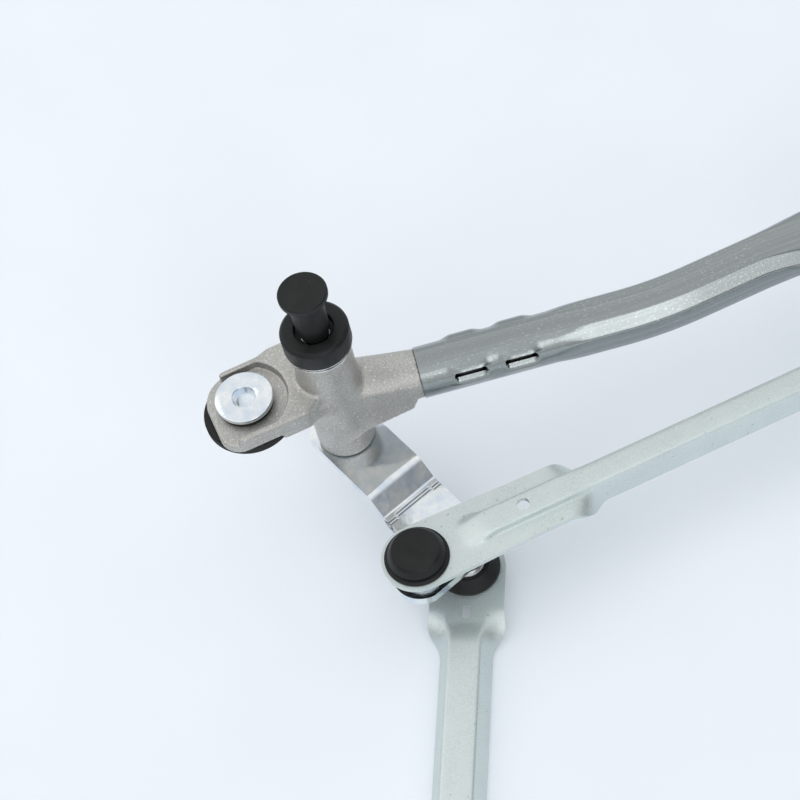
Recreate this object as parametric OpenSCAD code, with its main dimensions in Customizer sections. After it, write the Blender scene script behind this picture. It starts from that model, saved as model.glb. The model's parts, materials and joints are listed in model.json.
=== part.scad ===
// Wiper linkage: two die-cast pivots on a bent steel tube, two cranks, a connecting link and a drive link.
// Heights are counted from the foot of the left barrel and places from the left spindle axis.
// The model is then set down with its origin on the left fixing point, +X towards the right pivot, +Z up.

/* [Layout] */
// Distance between the two spindles
pivot_gap = 520; // [460:5:600]
// Height of the frame tube's axis above the foot of the barrel
tube_z = 26; // [25:0.5:32]
// Angle at which the tube leaves each pivot
tube_angle = 10.8; // [7:0.2:13]
// Distance from each spindle to the tube's bend
bend_at = 122; // [112:1:130]
// Bend radius of the tube
bend_r = 160; // [100:10:200]

/* [Frame tube] */
// Outer diameter of the tube
tube_d = 19.5; // [18.5:0.1:20.5]
// Wall of the tube
tube_wall = 1.5; // [1.2:0.1:2]
// Distance from each spindle to the tube's end
tube_start = 32.3; // [30:0.1:36]
// Width of the squeezed stretch
squeezed_w = 17.9; // [17:0.1:18.5]
// Height of the squeezed stretch
squeezed_h = 17.5; // [17:0.1:18.5]
// Width of the flattened middle
flat_w = 24.4; // [23:0.1:26]
// Height of the flattened middle
flat_h = 11; // [10:0.1:13]
// Length of the flattened middle
flat_len = 130; // [120:5:150]
// Length of one crimp
crimp_len = 12.4; // [10:0.1:13]
// Width of one crimp
crimp_w = 4.6; // [3.5:0.1:5]
// Distance from the tube's end to the first crimp
crimp_first = 18.5; // [15:0.5:20]
// Distance between the two crimps of a row
crimp_pitch = 19.3; // [17:0.1:21]
// Height of a row of crimps above the tube's side, as an angle
crimp_lift = 20; // [10:1:30]

/* [Pivot housing] */
// Diameter of the barrel
barrel_d = 22.2; // [21:0.1:24]
// Height of the barrel up to the seat of its dust collar
barrel_h = 62; // [58:0.5:68]
// Diameter of the rim under the dust collar
rim_d = 24.2; // [23.5:0.1:25]
// Height of the rim under the dust collar
rim_h = 2.5; // [2:0.1:4]
// Diameter of the nose that holds the dust collar
nose_d = 19.2; // [18.5:0.1:20]
// Height of the nose that holds the dust collar
nose_h = 2.5; // [2:0.1:3]
// Diameter of the arm where it meets the tube
arm_d = 18.4; // [17.5:0.1:18.5]
// Diameter of the arm where it leaves the barrel
arm_root_d = 23; // [20:0.1:25]
// Length of the spigot inside the tube
spigot_len = 48; // [46:1:55]
// Width of the arm across its flat sides
arm_w = 18; // [17:0.1:18.4]
// Height of the arm's lower corner at the barrel above the barrel's foot
gusset_z = 13; // [11:0.5:15]
// Height of the arm's lower edge near the tube above the barrel's foot
gusset_end_z = 18; // [17:0.5:19]

/* [Ear] */
// Distance from the spindle to the fixing point along the linkage
ear_x = 31.6; // [30:0.1:36]
// Distance from the spindle to the fixing point across the linkage
ear_y = 3.8; // [2:0.1:6]
// Distance from the fixing point to the ear's front edge
ear_front = 17; // [16.5:0.1:18]
// Distance from the fixing point to the ear's back edge
ear_back = 15.4; // [15:0.1:17]
// Distance from the fixing point to the ear's outer end
ear_nose = 14; // [13:0.1:17]
// Radius of the ear's front corner
ear_front_corner = 8; // [6:0.5:9]
// Radius of the ear's back corner
ear_back_corner = 12.5; // [10:0.5:13]
// Height of the ear's underside above the barrel's foot
ear_z = 35.5; // [34:0.5:38]
// Thickness of the ear at the fixing point
ear_t = 4; // [3.5:0.1:5]
// Height of the ribs along the ear
rib_h = 3.5; // [2.5:0.1:4.5]
// Width of the ribs along the ear
rib_w = 2.4; // [2:0.1:3]
// Distance from the fixing point to the ribs' free ends
rib_reach = 6.5; // [5:0.5:8]
// Radius of the round recess in the ear
recess_r = 16; // [15:0.1:17]
// Depth of the web below the ear, round the grommet
web_drop = 3.2; // [2:0.1:4]
// Distance by which the web stands out past the ear's back edge
web_swell = 1.5; // [0.5:0.1:2.5]

/* [Fixing points] */
// Bore of a fixing sleeve
sleeve_bore = 8.6; // [8.2:0.1:9]
// Outer diameter of a fixing sleeve
sleeve_d = 12; // [11.5:0.1:13]
// Diameter of a sleeve's flange
sleeve_flange_d = 21.7; // [21:0.1:24]
// Thickness of a sleeve's flange
sleeve_flange_t = 2; // [1.5:0.1:2.5]
// Length of sleeve that stands out under the grommet
sleeve_tail = 0.8; // [0.5:0.1:1.5]
// Diameter of the grommet's lower disc
grommet_d = 33.9; // [32:0.1:35]
// Thickness of the grommet's lower disc
grommet_h = 4.5; // [4:0.1:6]
// Diameter of the grommet where it passes through the ear
grommet_neck_d = 18; // [17:0.1:19]
// Diameter of the grommet's upper lip
lip_d = 20.6; // [20:0.1:21]
// Thickness of the grommet's upper lip
lip_h = 2.5; // [2:0.1:3]

/* [Spindle] */
// Diameter of the spindle
spindle_d = 10; // [9:0.1:11]
// Small diameter of the tapered arm seat
seat_top_d = 8.6; // [8.4:0.1:8.8]
// Length of the tapered arm seat
seat_len = 9; // [8:0.5:10]
// Diameter of the thread
thread_d = 8; // [7.6:0.1:8.2]
// Length of the thread
thread_len = 11; // [9:0.5:12]
// Diameter of the riveted head under the crank
tail_head_d = 15; // [14:0.5:17]
// Height of the riveted head under the crank
tail_head_h = 1.5; // [1:0.1:2]
// Outer diameter of a bearing bush
bush_d = 13; // [12.4:0.1:14]
// Length of a bearing bush
bush_len = 15; // [12:0.5:18]
// Thickness of a thrust washer
washer_t = 0.5; // [0.4:0.1:1]
// Outer diameter of a thrust washer
washer_d = 17; // [16:0.5:18]
// Thickness of a retaining ring
ring_t = 1; // [0.8:0.1:1.2]
// Outer diameter of a retaining ring
ring_d = 15.2; // [14:0.1:16]
// Depth of the retaining ring's groove
groove_depth = 0.6; // [0.4:0.1:0.8]

/* [Caps and collars] */
// Diameter of the dust collar
collar_d = 25.2; // [24.8:0.1:27]
// Height of the dust collar
collar_h = 8.9; // [8.4:0.1:10]
// Diameter of the recess in the dust collar
collar_recess_d = 14.6; // [14:0.1:17]
// Depth of the recess in the dust collar
collar_recess = 3; // [2.4:0.1:3.2]
// Diameter of the protective cap's button
cap_d = 17.8; // [16:0.1:19]
// Thickness of the protective cap's button
cap_button_h = 2.2; // [2:0.1:4]
// Diameter of the protective cap's neck
cap_neck_d = 12.8; // [12.6:0.1:14]
// Thickness of the cap above the thread
cap_roof = 3.9; // [3.5:0.1:5]
// Height of the bare arm seat below the cap
cap_lift = 2.6; // [2:0.1:4]

/* [Cranks] */
// Width of a crank strip
crank_w = 25; // [24:0.5:28]
// Thickness of a crank strip
crank_t = 4; // [3.5:0.1:5]
// Distance from the spindle to the crank's first bend
joggle_at = 28; // [25:0.5:31]
// Length of the joggle along the strip
joggle_run = 7.5; // [7:0.1:9]
// Drop of the joggle
joggle_drop = 6; // [5:0.1:7]
// Distance from the spindle to the drive ball
drive_ball_r = 66.9; // [64:0.1:70]
// Distance from the spindle to the link ball
link_ball_r = 65.2; // [63:0.1:68]
// Angle between the two balls
ball_angle = 15.47; // [14.5:0.01:18]
// Direction of the left crank's strip at rest
crank_rest = -72.98; // [-90:0.01:-60]
// Radius of the crank's lobe round the link ball
lobe_r = 11; // [9:0.1:12]
// Length of crank beyond the drive ball
crank_end = 6.6; // [6:0.1:9]

/* [Ball joints] */
// Diameter of a ball
ball_d = 16; // [15:0.1:16.5]
// Height of a ball's centre above the crank
stud_h = 8.5; // [8.4:0.1:9.5]
// Diameter of a ball stud's neck
stud_neck_d = 10; // [9:0.1:10.4]
// Diameter of a ball stud's shoulder
shoulder_d = 13.4; // [12:0.1:15]
// Height of a ball stud's shoulder
shoulder_h = 1.5; // [1:0.1:2]
// Diameter of a ball stud's tail in the crank
tail_d = 8; // [7:0.1:9]
// Diameter of a ball stud's riveted head
rivet_head_d = 11; // [10:0.1:12]
// Height of a ball stud's riveted head
rivet_head_h = 1.5; // [1:0.1:2]
// Diameter of a socket's rim
socket_d = 24.1; // [23.6:0.1:25]
// Diameter of a socket where it passes through its link
socket_neck_d = 20; // [19.6:0.1:20.6]
// Height of a socket's dome above its link
dome_h = 5.8; // [5.7:0.1:7]
// Diameter of a socket's dome at its top
dome_top_d = 18.6; // [17:0.1:19]
// Height of a socket's rim
socket_rim_h = 1.3; // [1:0.1:1.8]
// Depth of a socket's collar behind its link
mouth_h = 5.5; // [5.2:0.1:5.8]
// Distance from the ball's centre to the face that carries the dome
ball_sink = 3.5; // [3.4:0.1:3.8]

/* [Connecting link] */
// Thickness of both links' sheet
sheet_t = 2; // [1.6:0.1:2.4]
// Diameter of the link's round ends
link_end_d = 26.6; // [26:0.1:29]
// Width of the link's flat stretch
link_w = 24; // [22:0.1:26]
// Width of the link's channel
link_channel_w = 10; // [9:0.1:12]
// Depth of the link's channel
link_channel_h = 13.5; // [11:0.1:15]
// Height of the bead that runs into the channel
bead_h = 3; // [2.5:0.1:3.5]
// Distance from the ball to the bead's round nose
bead_at = 16.5; // [15:0.5:20]
// Slope of the link's channel walls
link_wall = 87; // [80:0.5:89]
// Distance from the ball to where the link's flanges start to fold
link_fold_at = 57; // [52:1:62]
// Distance from the ball to the hole in the link's bead
link_hole_at = 43; // [40:1:48]
// Diameter of the hole in the link's bead
link_hole_d = 5; // [4:0.1:6]

/* [Drive link] */
// Distance between the drive link's two sockets
drive_len = 240; // [200:5:280]
// Direction of the drive link at rest
drive_rest = -117.3; // [-150:0.1:-90]
// Diameter of the drive link's round ends
drive_end_d = 28; // [27:0.1:30]
// Width of the flat web along the drive link
drive_web_w = 12; // [10:0.1:13]
// Slope of the drive link's side walls
drive_wall = 67; // [60:1:80]
// Height by which the drive link's web rises along its channel
drive_rise = 1.4; // [1:0.1:2]
// Depth of the drive link's channel
drive_channel_h = 9; // [8:0.1:11]
// Distance from the ball to where the drive link's flanges start to fold
drive_fold_at = 22.5; // [22:0.5:30]
// Distance from the ball to the slot in the drive link
drive_slot_at = 18.4; // [18:0.1:19]
// Length of the slot in the drive link
drive_slot_len = 6; // [5:0.1:7]
// Width of the slot in the drive link
drive_slot_w = 3.4; // [3:0.1:4]

/* [Motor bracket] */
// Thickness of the bracket's plate
plate_t = 2.5; // [2:0.1:3]
// Distance from the left spindle to the motor shaft along the linkage
motor_x = 260; // [240:1:280]
// Distance from the spindles to the motor shaft across the linkage
motor_y = 95; // [90:1:105]
// Diameter of the motor's pilot hole
pilot_d = 26; // [22:0.5:30]
// Pitch circle of the motor's screws
motor_pcd = 64; // [58:0.5:70]
// Diameter of the motor's screw holes
motor_hole_d = 6.6; // [6:0.1:7]
// Distance from the motor shaft to the bracket's fixing point
bracket_reach = 68; // [62:1:75]
// Depth of the bracket's turned-down edges
skirt_h = 7; // [5:0.5:8]
// Distance between the two rivets that hold the tube
rivet_pitch = 84; // [70:1:95]
// Diameter of a rivet's shank
rivet_d = 8; // [6:0.1:9]
// Diameter of a rivet's heads
rivet_cap_d = 14; // [12:0.5:16]
// Height of a rivet's heads
rivet_cap_h = 2.4; // [2:0.1:3]

/* [Clearances] */
// Gap round a shaft that turns in its bush
run_gap = 0.05; // [0.02:0.01:0.09]
// Gap round pieces that are held fast in one another
seat_gap = 0.04; // [0.02:0.01:0.08]
// Gap between a ball and its socket
ball_gap = 0.1; // [0.06:0.01:0.15]
// Gap between pieces that pass without touching
free_gap = 0.4; // [0.3:0.05:0.6]
// End play of a spindle at each end of its barrel
end_play = 0.1; // [0.05:0.01:0.2]

/* [Hidden] */
$fn = 64;
cast_grey = [0.66, 0.66, 0.64];
tube_grey = [0.56, 0.58, 0.59];
zinc_pale = [0.70, 0.75, 0.74];
zinc_bright = [0.76, 0.80, 0.84];
steel_grey = [0.55, 0.56, 0.58];
bronze = [0.66, 0.52, 0.32];
plastic_black = [0.12, 0.13, 0.13];
rubber_black = [0.08, 0.08, 0.08];
// A cut runs this far past the face it opens
cut = 1;

// Small mould and machining details
edge = 0.6;
cap_round = 0.6;
collar_chamfer = 1.2;
motor_margin = 13;
// Room round a grommet's disc
grommet_room = 3 * free_gap;
bead_w = 9;
bead_rise = 1.6;
bend_round = 1.5;
bend_steps = 6;
crank_corner = 4;
crimp_wall = 1.2;
crimp_depth = 2.6;
hollow_r = 20;
web_round = 6;
web_turn = 32;
web_tip = 235;
swell_run = 6.4;
swell_steps = 4;
top_flare = 2;
low_flare = 4;
gusset_step = 2.5;
lap = 2;
lap_skin = 0.03;
strip_steps = 24;
tube_sides = 24;
ring_steps = 6;
squeeze_run = 16;
flatten_run = 34;
// Roundness of the tube's sections: 2 is an ellipse, more is boxier
round_power = 2;
squeezed_power = 3.8;
flat_power = 3.2;
// Share of a bead's slanted wall that each of its bends takes up
bend_share = 0.4;
// Half width of a bead at the tip of its nose
bead_tip = 1.3;
mouth_lip = 1.5;
motor_screws = 3;
first_screw = 30;
lobe_start = 215;
tip_turn = 85;

// Heights above the barrel's foot
seat_z = ear_z + ear_t;
sleeve_top = seat_z + lip_h + sleeve_flange_t;
nose_z = barrel_h + nose_h;
crank_top = -end_play - washer_t;
crank_low = crank_top - joggle_drop;
top_washer_z = nose_z + end_play;
ring_z = top_washer_z + washer_t;
collar_top = barrel_h + collar_h;
collar_floor = collar_top - collar_recess;
cone_z = collar_floor + free_gap;
thread_z = cone_z + seat_len;
spindle_top = thread_z + thread_len;
cap_foot = collar_floor + cap_lift;
cap_top = spindle_top + free_gap + cap_roof;
link_ball_z = crank_low + stud_h;
drive_ball_z = crank_low - crank_t - stud_h;
link_face = link_ball_z + ball_sink;
drive_face = drive_ball_z - ball_sink;
plate_top = tube_z - flat_h / 2;
plate_low = plate_top - plate_t;

// Plan places from the left spindle axis
link_dir = crank_rest - ball_angle;
link_ball_at = link_ball_r * [cos(link_dir), sin(link_dir)];
drive_ball_at = drive_ball_r * [cos(crank_rest), sin(crank_rest)];
tube_y = -bend_at * tan(tube_angle);
motor_at = [motor_x, -motor_y];
bracket_fix_at = [motor_x, -motor_y - bracket_reach];
datum = [-ear_x, ear_y, sleeve_top];

// Where the tube's bend starts and ends, and where its shape changes
bend_tangent = bend_r * tan(tube_angle / 2);
bend_in = bend_at - bend_tangent * cos(tube_angle);
bend_out = bend_at + bend_tangent;
round_end = (tube_start + spigot_len + lap) * cos(tube_angle);
flat_from = motor_x - flat_len / 2;
flat_to = motor_x + flat_len / 2;

// Sizes that follow from fits
journal_r = spindle_d / 2;
bush_r = bush_d / 2;
spigot_r = tube_d / 2 - tube_wall - seat_gap;
socket_ball_r = ball_d / 2 + ball_gap;

// Points on an arc about a centre
function arc(c, r, a0, a1, n) = [for (i = [0:n]) let (a = a0 + (a1 - a0) * i / n) c + r * [cos(a), sin(a)]];
// Smooth step from 0 to 1 while x goes from a to b
function ease(x, a, b) = let (t = max(0, min(1, (x - a) / (b - a)))) t * t * (3 - 2 * t);
function mix(a, b, t) = a + (b - a) * t;
function reversed(list) = [for (i = [len(list) - 1:-1:0]) list[i]];
function unit(v) = v / norm(v);
// Unit normal of an open plan path at point i, to the left of its direction
function normal_at(path, i) =
  let (d = unit(path[min(i + 1, len(path) - 1)] - path[max(i - 1, 0)])) [-d[1], d[0]];
// Open path moved sideways by a distance
function moved(path, off) = [for (i = [0:len(path) - 1]) path[i] + off * normal_at(path, i)];

// Closed skin over a row of sheet sections: each ring runs along the upper side and back underneath
module skin(rings) {
  n = len(rings[0]);
  m = len(rings);
  points = [for (ring = rings, p = ring) p];
  sides = [
    for (i = [0:m - 2], j = [0:n - 1])
      let (a = i * n + j, b = i * n + (j + 1) % n)
        each [[a, b, b + n], [a, b + n, a + n]]
  ];
  caps = [
    for (j = [0:n / 2 - 2])
      let (k = n - 1 - j, e = (m - 1) * n)
        each [
          [j, k, j + 1], [j + 1, k, k - 1],
          [e + j, e + j + 1, e + k], [e + j + 1, e + k - 1, e + k]
        ]
  ];
  polyhedron(points, concat(sides, caps), convexity = 8);
}

// Set down the model with its origin on the left fixing point
module in_frame() {
  translate(-datum) children();
}

// Shift a right-hand piece to its pivot
module at_right() {
  translate([pivot_gap, 0, 0]) children();
}

// Mirror a left-hand casting for the right pivot
module mirrored_right() {
  at_right() mirror([1, 0, 0]) children();
}

// Turn the X axis along the tube as it leaves the left pivot, at the tube's height
module along_arm() {
  translate([0, 0, tube_z]) rotate([0, 0, -tube_angle]) children();
}

// Put a child at each crimp of the left tube end, with +Y pointing out of the tube's side
module at_crimps() {
  for (side = [1, -1], row = [0, 1])
    along_arm()
      translate([tube_start + crimp_first + row * crimp_pitch, 0, 0])
        mirror([0, side < 0 ? 1 : 0, 0])
          rotate([crimp_lift, 0, 0])
            children();
}

// Straight slot of a given length and width, cut upwards from z = 0
module slot(len, w, h) {
  linear_extrude(h) {
    square([len - w, w], center = true);
    for (s = [-1, 1])
      translate([s * (len - w) / 2, 0]) circle(d = w);
  }
}

// Plan direction of the tube at a distance along the linkage
function tube_turn(x) =
  x > pivot_gap / 2 ? -tube_turn(pivot_gap - x)
  : x <= bend_in ? -tube_angle
  : x >= bend_out ? 0
  : asin((x - bend_out) / bend_r);

// Sideways place of the tube at a distance along the linkage
function tube_side(x) =
  x > pivot_gap / 2 ? tube_side(pivot_gap - x)
  : x <= bend_in ? -x * tan(tube_angle)
  : x >= bend_out ? tube_y
  : tube_y + bend_r - sqrt(bend_r ^ 2 - (x - bend_out) ^ 2);

// How far the tube is squeezed to its boxy section, and how far it is flattened, each from 0 to 1
function squeezed(x) =
  ease(x, round_end, round_end + squeeze_run) * ease(pivot_gap - x, round_end, round_end + squeeze_run);
function flattened(x) =
  ease(x, flat_from - flatten_run, flat_from) * ease(-x, -flat_to - flatten_run, -flat_to);

// One ring of the tube, with its skin moved inwards by an inset
function tube_ring(x, inset) =
  let (
    q = squeezed(x),
    f = flattened(x),
    half_w = mix(mix(tube_d, squeezed_w, q), flat_w, f) / 2 - inset,
    half_h = mix(mix(tube_d, squeezed_h, q), flat_h, f) / 2 - inset,
    power = 2 / mix(mix(round_power, squeezed_power, q), flat_power, f),
    turn = tube_turn(x),
    side = [-sin(turn), cos(turn), 0]
  )
  [
    for (i = [0:tube_sides - 1])
      let (
        a = 360 * i / tube_sides,
        u = sign(cos(a)) * abs(cos(a)) ^ power,
        v = sign(sin(a)) * abs(sin(a)) ^ power
      )
        [x, tube_side(x), tube_z] + half_w * u * side + [0, 0, half_h * v]
  ];

// Distances from a pivot at which the tube has a ring, up to the near edge of its flattened middle
function half_stations(flat_edge) = concat(
  [round_end - lap],
  [for (i = [0:ring_steps]) round_end + squeeze_run * i / ring_steps],
  [for (i = [0:ring_steps]) mix(max(bend_in, round_end + squeeze_run + edge), bend_out, i / ring_steps)],
  [for (i = [0:ring_steps]) flat_edge - flatten_run + flatten_run * i / ring_steps]
);

// Wall of the tube between its two round ends, open along its middle
module tube_middle() {
  stations = concat(
    half_stations(flat_from),
    [for (x = reversed(half_stations(pivot_gap - flat_to))) pivot_gap - x]
  );
  n = tube_sides;
  m = len(stations);
  outer = [for (x = stations) each tube_ring(x, lap_skin)];
  inner = [for (x = stations) each tube_ring(x, tube_wall - lap_skin)];
  k = n * m;
  walls = [
    for (i = [0:m - 2], j = [0:n - 1])
      let (a = i * n + j, b = i * n + (j + 1) % n)
        each [
          [a, b + n, b], [a, a + n, b + n],
          [k + a, k + b, k + b + n], [k + a, k + b + n, k + a + n]
        ]
  ];
  ends = [
    for (j = [0:n - 1])
      let (a = j, b = (j + 1) % n, e = (m - 1) * n)
        each [
          [a, b, k + b], [a, k + b, k + a],
          [e + a, k + e + b, e + b], [e + a, k + e + a, k + e + b]
        ]
  ];
  polyhedron(concat(outer, inner), concat(walls, ends), convexity = 8);
}

// Round end of the tube with its two rows of lanced crimps, each pressed in from its sheared upper edge
module tube_end() {
  bore_r = tube_d / 2 - tube_wall;
  tab_len = crimp_len - edge;
  difference() {
    along_arm()
      translate([tube_start, 0, 0])
        rotate([0, 90, 0])
          difference() {
            cylinder(h = spigot_len + lap, d = tube_d);
            translate([0, 0, -cut]) cylinder(h = spigot_len + lap + 2 * cut, r = bore_r);
          }
    at_crimps()
      translate([-crimp_len / 2, bore_r - cut, -crimp_w / 2])
        cube([crimp_len, tube_wall + 2 * cut, crimp_w]);
  }
  at_crimps()
    translate([-tab_len / 2, tube_d / 2 - (tube_wall + crimp_wall) / 2, -crimp_w / 2 - edge])
      rotate([atan(crimp_depth / crimp_w), 0, 0])
        cube([tab_len, crimp_wall, crimp_w]);
}

module frame_tube() {
  color(tube_grey)
    in_frame() {
      difference() {
        tube_middle();
        at_rivets()
          translate([0, 0, -flat_h / 2 - cut])
            cylinder(h = flat_h + 2 * cut, d = rivet_d + 2 * seat_gap);
      }
      tube_end();
      mirrored_right() tube_end();
    }
}

// Put a child at each rivet's place in plan
module at_rivets_plan() {
  for (s = [-1, 1])
    translate([motor_x + s * rivet_pitch / 2, tube_y]) children();
}

// Put a child at each rivet, at the height of the tube's axis
module at_rivets() {
  at_rivets_plan() translate([0, 0, tube_z]) children();
}

module bracket_rivets() {
  color(zinc_bright)
    in_frame()
      at_rivets() {
        shank_low = -flat_h / 2 - plate_t;
        translate([0, 0, shank_low]) cylinder(h = flat_h + plate_t, d = rivet_d);
        translate([0, 0, flat_h / 2])
          cylinder(h = rivet_cap_h, d1 = rivet_cap_d, d2 = rivet_cap_d - 2 * rivet_cap_h);
        translate([0, 0, shank_low - rivet_cap_h])
          cylinder(h = rivet_cap_h, d1 = rivet_cap_d - 2 * rivet_cap_h, d2 = rivet_cap_d);
      }
}

// Outline of the bracket: a saddle under the tube, the round motor seat and the ear of the third fixing
module bracket_plan() {
  hull() {
    at_rivets_plan() circle(r = flat_w / 2, $fn = 32);
    translate(motor_at) circle(r = motor_pcd / 2 + motor_margin, $fn = 48);
  }
  hull() {
    translate(motor_at) circle(r = motor_pcd / 4 + motor_margin, $fn = 32);
    translate(bracket_fix_at) circle(r = grommet_d / 2 + grommet_room + plate_t, $fn = 32);
  }
}

// Stiffening beads pressed up into the bracket between the tube and the motor seat
module bracket_beads(inset) {
  bead_from = tube_y - flat_w / 2 - bead_w;
  bead_to = -motor_y + motor_pcd / 2 + motor_hole_d + bead_w;
  for (s = [-1, 1])
    translate([motor_x + s * rivet_pitch / 4, (bead_from + bead_to) / 2, 0])
      rotate([0, 0, 90])
        slot(max(bead_from - bead_to, bead_w) + bead_w - 2 * inset, bead_w - 2 * inset, bead_rise);
}

module motor_bracket() {
  color(zinc_pale)
    in_frame()
      difference() {
        union() {
          translate([0, 0, plate_low]) linear_extrude(plate_t) bracket_plan();
          translate([0, 0, plate_top]) bracket_beads(0);
          translate([0, 0, plate_low - skirt_h])
            linear_extrude(skirt_h + cut)
              intersection() {
                difference() {
                  bracket_plan();
                  offset(r = -plate_t, $fn = 32) bracket_plan();
                }
                translate([motor_x - motor_y, -2 * motor_y - 2 * bracket_reach])
                  square([2 * motor_y, motor_y + 2 * bracket_reach]);
              }
        }
        translate([0, 0, plate_low]) bracket_beads(bead_rise);
        translate([motor_at[0], motor_at[1], plate_low - cut]) {
          cylinder(h = plate_t + 2 * cut, d = pilot_d);
          for (i = [0:motor_screws - 1])
            rotate([0, 0, first_screw + 360 * i / motor_screws])
              translate([motor_pcd / 2, 0, 0])
                cylinder(h = plate_t + 2 * cut, d = motor_hole_d);
        }
        translate([bracket_fix_at[0], bracket_fix_at[1], plate_low - cut])
          cylinder(h = plate_t + 2 * cut, d = grommet_neck_d + 2 * seat_gap);
        at_rivets()
          translate([0, 0, plate_low - tube_z - cut])
            cylinder(h = plate_t + 2 * cut, d = rivet_d + 2 * seat_gap);
      }
}

// Plan of the ear and its web: a straight front edge that turns in to a tip on the barrel,
// and a back edge that swells out past the recess and runs hollow into the barrel
module ear_plan() {
  front = ear_y - ear_front;
  back = ear_y + ear_back;
  end_x = -ear_x - ear_nose;
  tip = barrel_d / 2 * [cos(web_tip), sin(web_tip)];
  turn_y = front + web_round * (1 - cos(web_turn));
  turn_x = tip[0] - (tip[1] - turn_y) / tan(web_turn) - web_round * sin(web_turn);
  swollen = back + web_swell;
  polygon(concat(
    arc([end_x + ear_front_corner, front + ear_front_corner], ear_front_corner, 180, 270, 8),
    arc([turn_x, front + web_round], web_round, 270, 270 + web_turn, 4),
    [tip, [0, 0], [barrel_d / 2, swollen - hollow_r]],
    arc([barrel_d / 2, swollen], hollow_r, 270, 180, 10),
    [
      for (i = [0:swell_steps])
        let (t = i / swell_steps)
          [recess_r - ear_x - swell_run * t, swollen - web_swell * ease(t, 0, 1)]
    ],
    arc([end_x + ear_back_corner, back - ear_back_corner], ear_back_corner, 90, 180, 8)
  ));
}

// Ear of a housing, with a round recess for the fixing, a rib along each side
// and a pocket round the grommet
module ear_block() {
  between = ear_front + ear_back - 2 * rib_w;
  pocket_r = grommet_d / 2 + grommet_room;
  web_z = ear_z - web_drop;
  rib_top = seat_z + rib_h;
  difference() {
    translate([0, 0, web_z]) linear_extrude(rib_top - web_z) ear_plan();
    translate([-ear_x, ear_y, 0]) {
      translate([0, 0, seat_z])
        intersection() {
          cylinder(h = rib_h + cut, r = recess_r);
          translate([-recess_r, rib_w - ear_front, 0]) cube([2 * recess_r, between, rib_h + cut]);
        }
      translate([-2 * recess_r, rib_w - ear_front, seat_z]) cube([2 * recess_r, between, rib_h + cut]);
      translate([-rib_reach - 2 * recess_r, -2 * ear_front, seat_z])
        cube([2 * recess_r, 4 * ear_front, rib_h + cut]);
      translate([0, 0, web_z - cut]) cylinder(h = web_drop + cut, r = pocket_r);
      translate([-2 * pocket_r, -2 * pocket_r, web_z - cut])
        cube([2 * pocket_r, 4 * pocket_r, web_drop + cut]);
    }
  }
  // Cast flares that blend the web into the barrel above and below
  intersection() {
    translate([0, 0, web_z - low_flare])
      linear_extrude(rib_top - web_z + top_flare + low_flare) ear_plan();
    union() {
      translate([0, 0, rib_top])
        cylinder(h = top_flare, r1 = barrel_d / 2 + top_flare, r2 = barrel_d / 2 - edge);
      translate([0, 0, web_z - low_flare])
        cylinder(h = low_flare, r1 = barrel_d / 2 - edge, r2 = barrel_d / 2 + low_flare);
    }
  }
}

// Side view of the arm's flat-sided body, from the barrel to the tube
module gusset_side() {
  low = gusset_z - tube_z;
  end_low = gusset_end_z - tube_z;
  polygon([
    [0, low], [0, 0], [tube_start - edge, 0], [tube_start - edge, end_low + 2 * gusset_step],
    [tube_start - gusset_step, end_low + 2 * gusset_step],
    [tube_start - 2 * gusset_step, end_low], [barrel_d / 2 - 2 * edge, low]
  ]);
}

// Arm that is round on top with flat sides, and the spigot that fills the tube's end,
// with a pocket behind each crimp
module tube_arm() {
  difference() {
    along_arm() {
      intersection() {
        union() {
          rotate([0, 90, 0]) cylinder(h = tube_start, d1 = arm_root_d, d2 = arm_d);
          rotate([90, 0, 0]) linear_extrude(2 * arm_w, center = true) gusset_side();
        }
        translate([-cut, -arm_w / 2, -tube_z]) cube([tube_start + 2 * cut, arm_w, 2 * tube_z]);
      }
      translate([tube_start - cut, 0, 0]) rotate([0, 90, 0]) cylinder(h = spigot_len + cut, r = spigot_r);
    }
    at_crimps()
      translate([-crimp_len / 2 - edge, spigot_r - crimp_depth - edge, -crimp_w / 2 - 2 * edge])
        cube([crimp_len + 2 * edge, crimp_depth + tube_wall + cut, crimp_w + 4 * edge]);
  }
}

// Die-cast pivot: barrel, ear, arm and spigot in one piece
module pivot_housing() {
  difference() {
    union() {
      translate([0, 0, edge]) cylinder(h = barrel_h - rim_h - edge, d = barrel_d);
      cylinder(h = edge, d1 = barrel_d - 2 * edge, d2 = barrel_d);
      translate([0, 0, barrel_h - rim_h]) cylinder(h = rim_h, d = rim_d);
      translate([0, 0, barrel_h - 2 * rim_h]) cylinder(h = rim_h, d1 = barrel_d, d2 = rim_d);
      cylinder(h = nose_z, d = nose_d);
      ear_block();
      tube_arm();
    }
    translate([0, 0, -cut]) cylinder(h = nose_z + 2 * cut, r = journal_r + edge);
    translate([0, 0, -cut]) cylinder(h = bush_len + cut, r = bush_r + seat_gap);
    translate([0, 0, nose_z - bush_len]) cylinder(h = bush_len + cut, r = bush_r + seat_gap);
    translate([-ear_x, ear_y, ear_z - cut])
      cylinder(h = ear_t + 2 * cut, d = grommet_neck_d + 2 * seat_gap);
  }
}

module pivot_housing_left() {
  color(cast_grey) in_frame() pivot_housing();
}

module pivot_housing_right() {
  color(cast_grey) in_frame() mirrored_right() pivot_housing();
}

module bush() {
  difference() {
    cylinder(h = bush_len, r = bush_r);
    translate([0, 0, -cut]) cylinder(h = bush_len + 2 * cut, r = journal_r + run_gap);
  }
}

module lower_bush_left() {
  color(bronze) in_frame() bush();
}

module lower_bush_right() {
  color(bronze) in_frame() at_right() bush();
}

module upper_bush_left() {
  color(bronze) in_frame() translate([0, 0, nose_z - bush_len]) bush();
}

module upper_bush_right() {
  color(bronze) in_frame() at_right() translate([0, 0, nose_z - bush_len]) bush();
}

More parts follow.
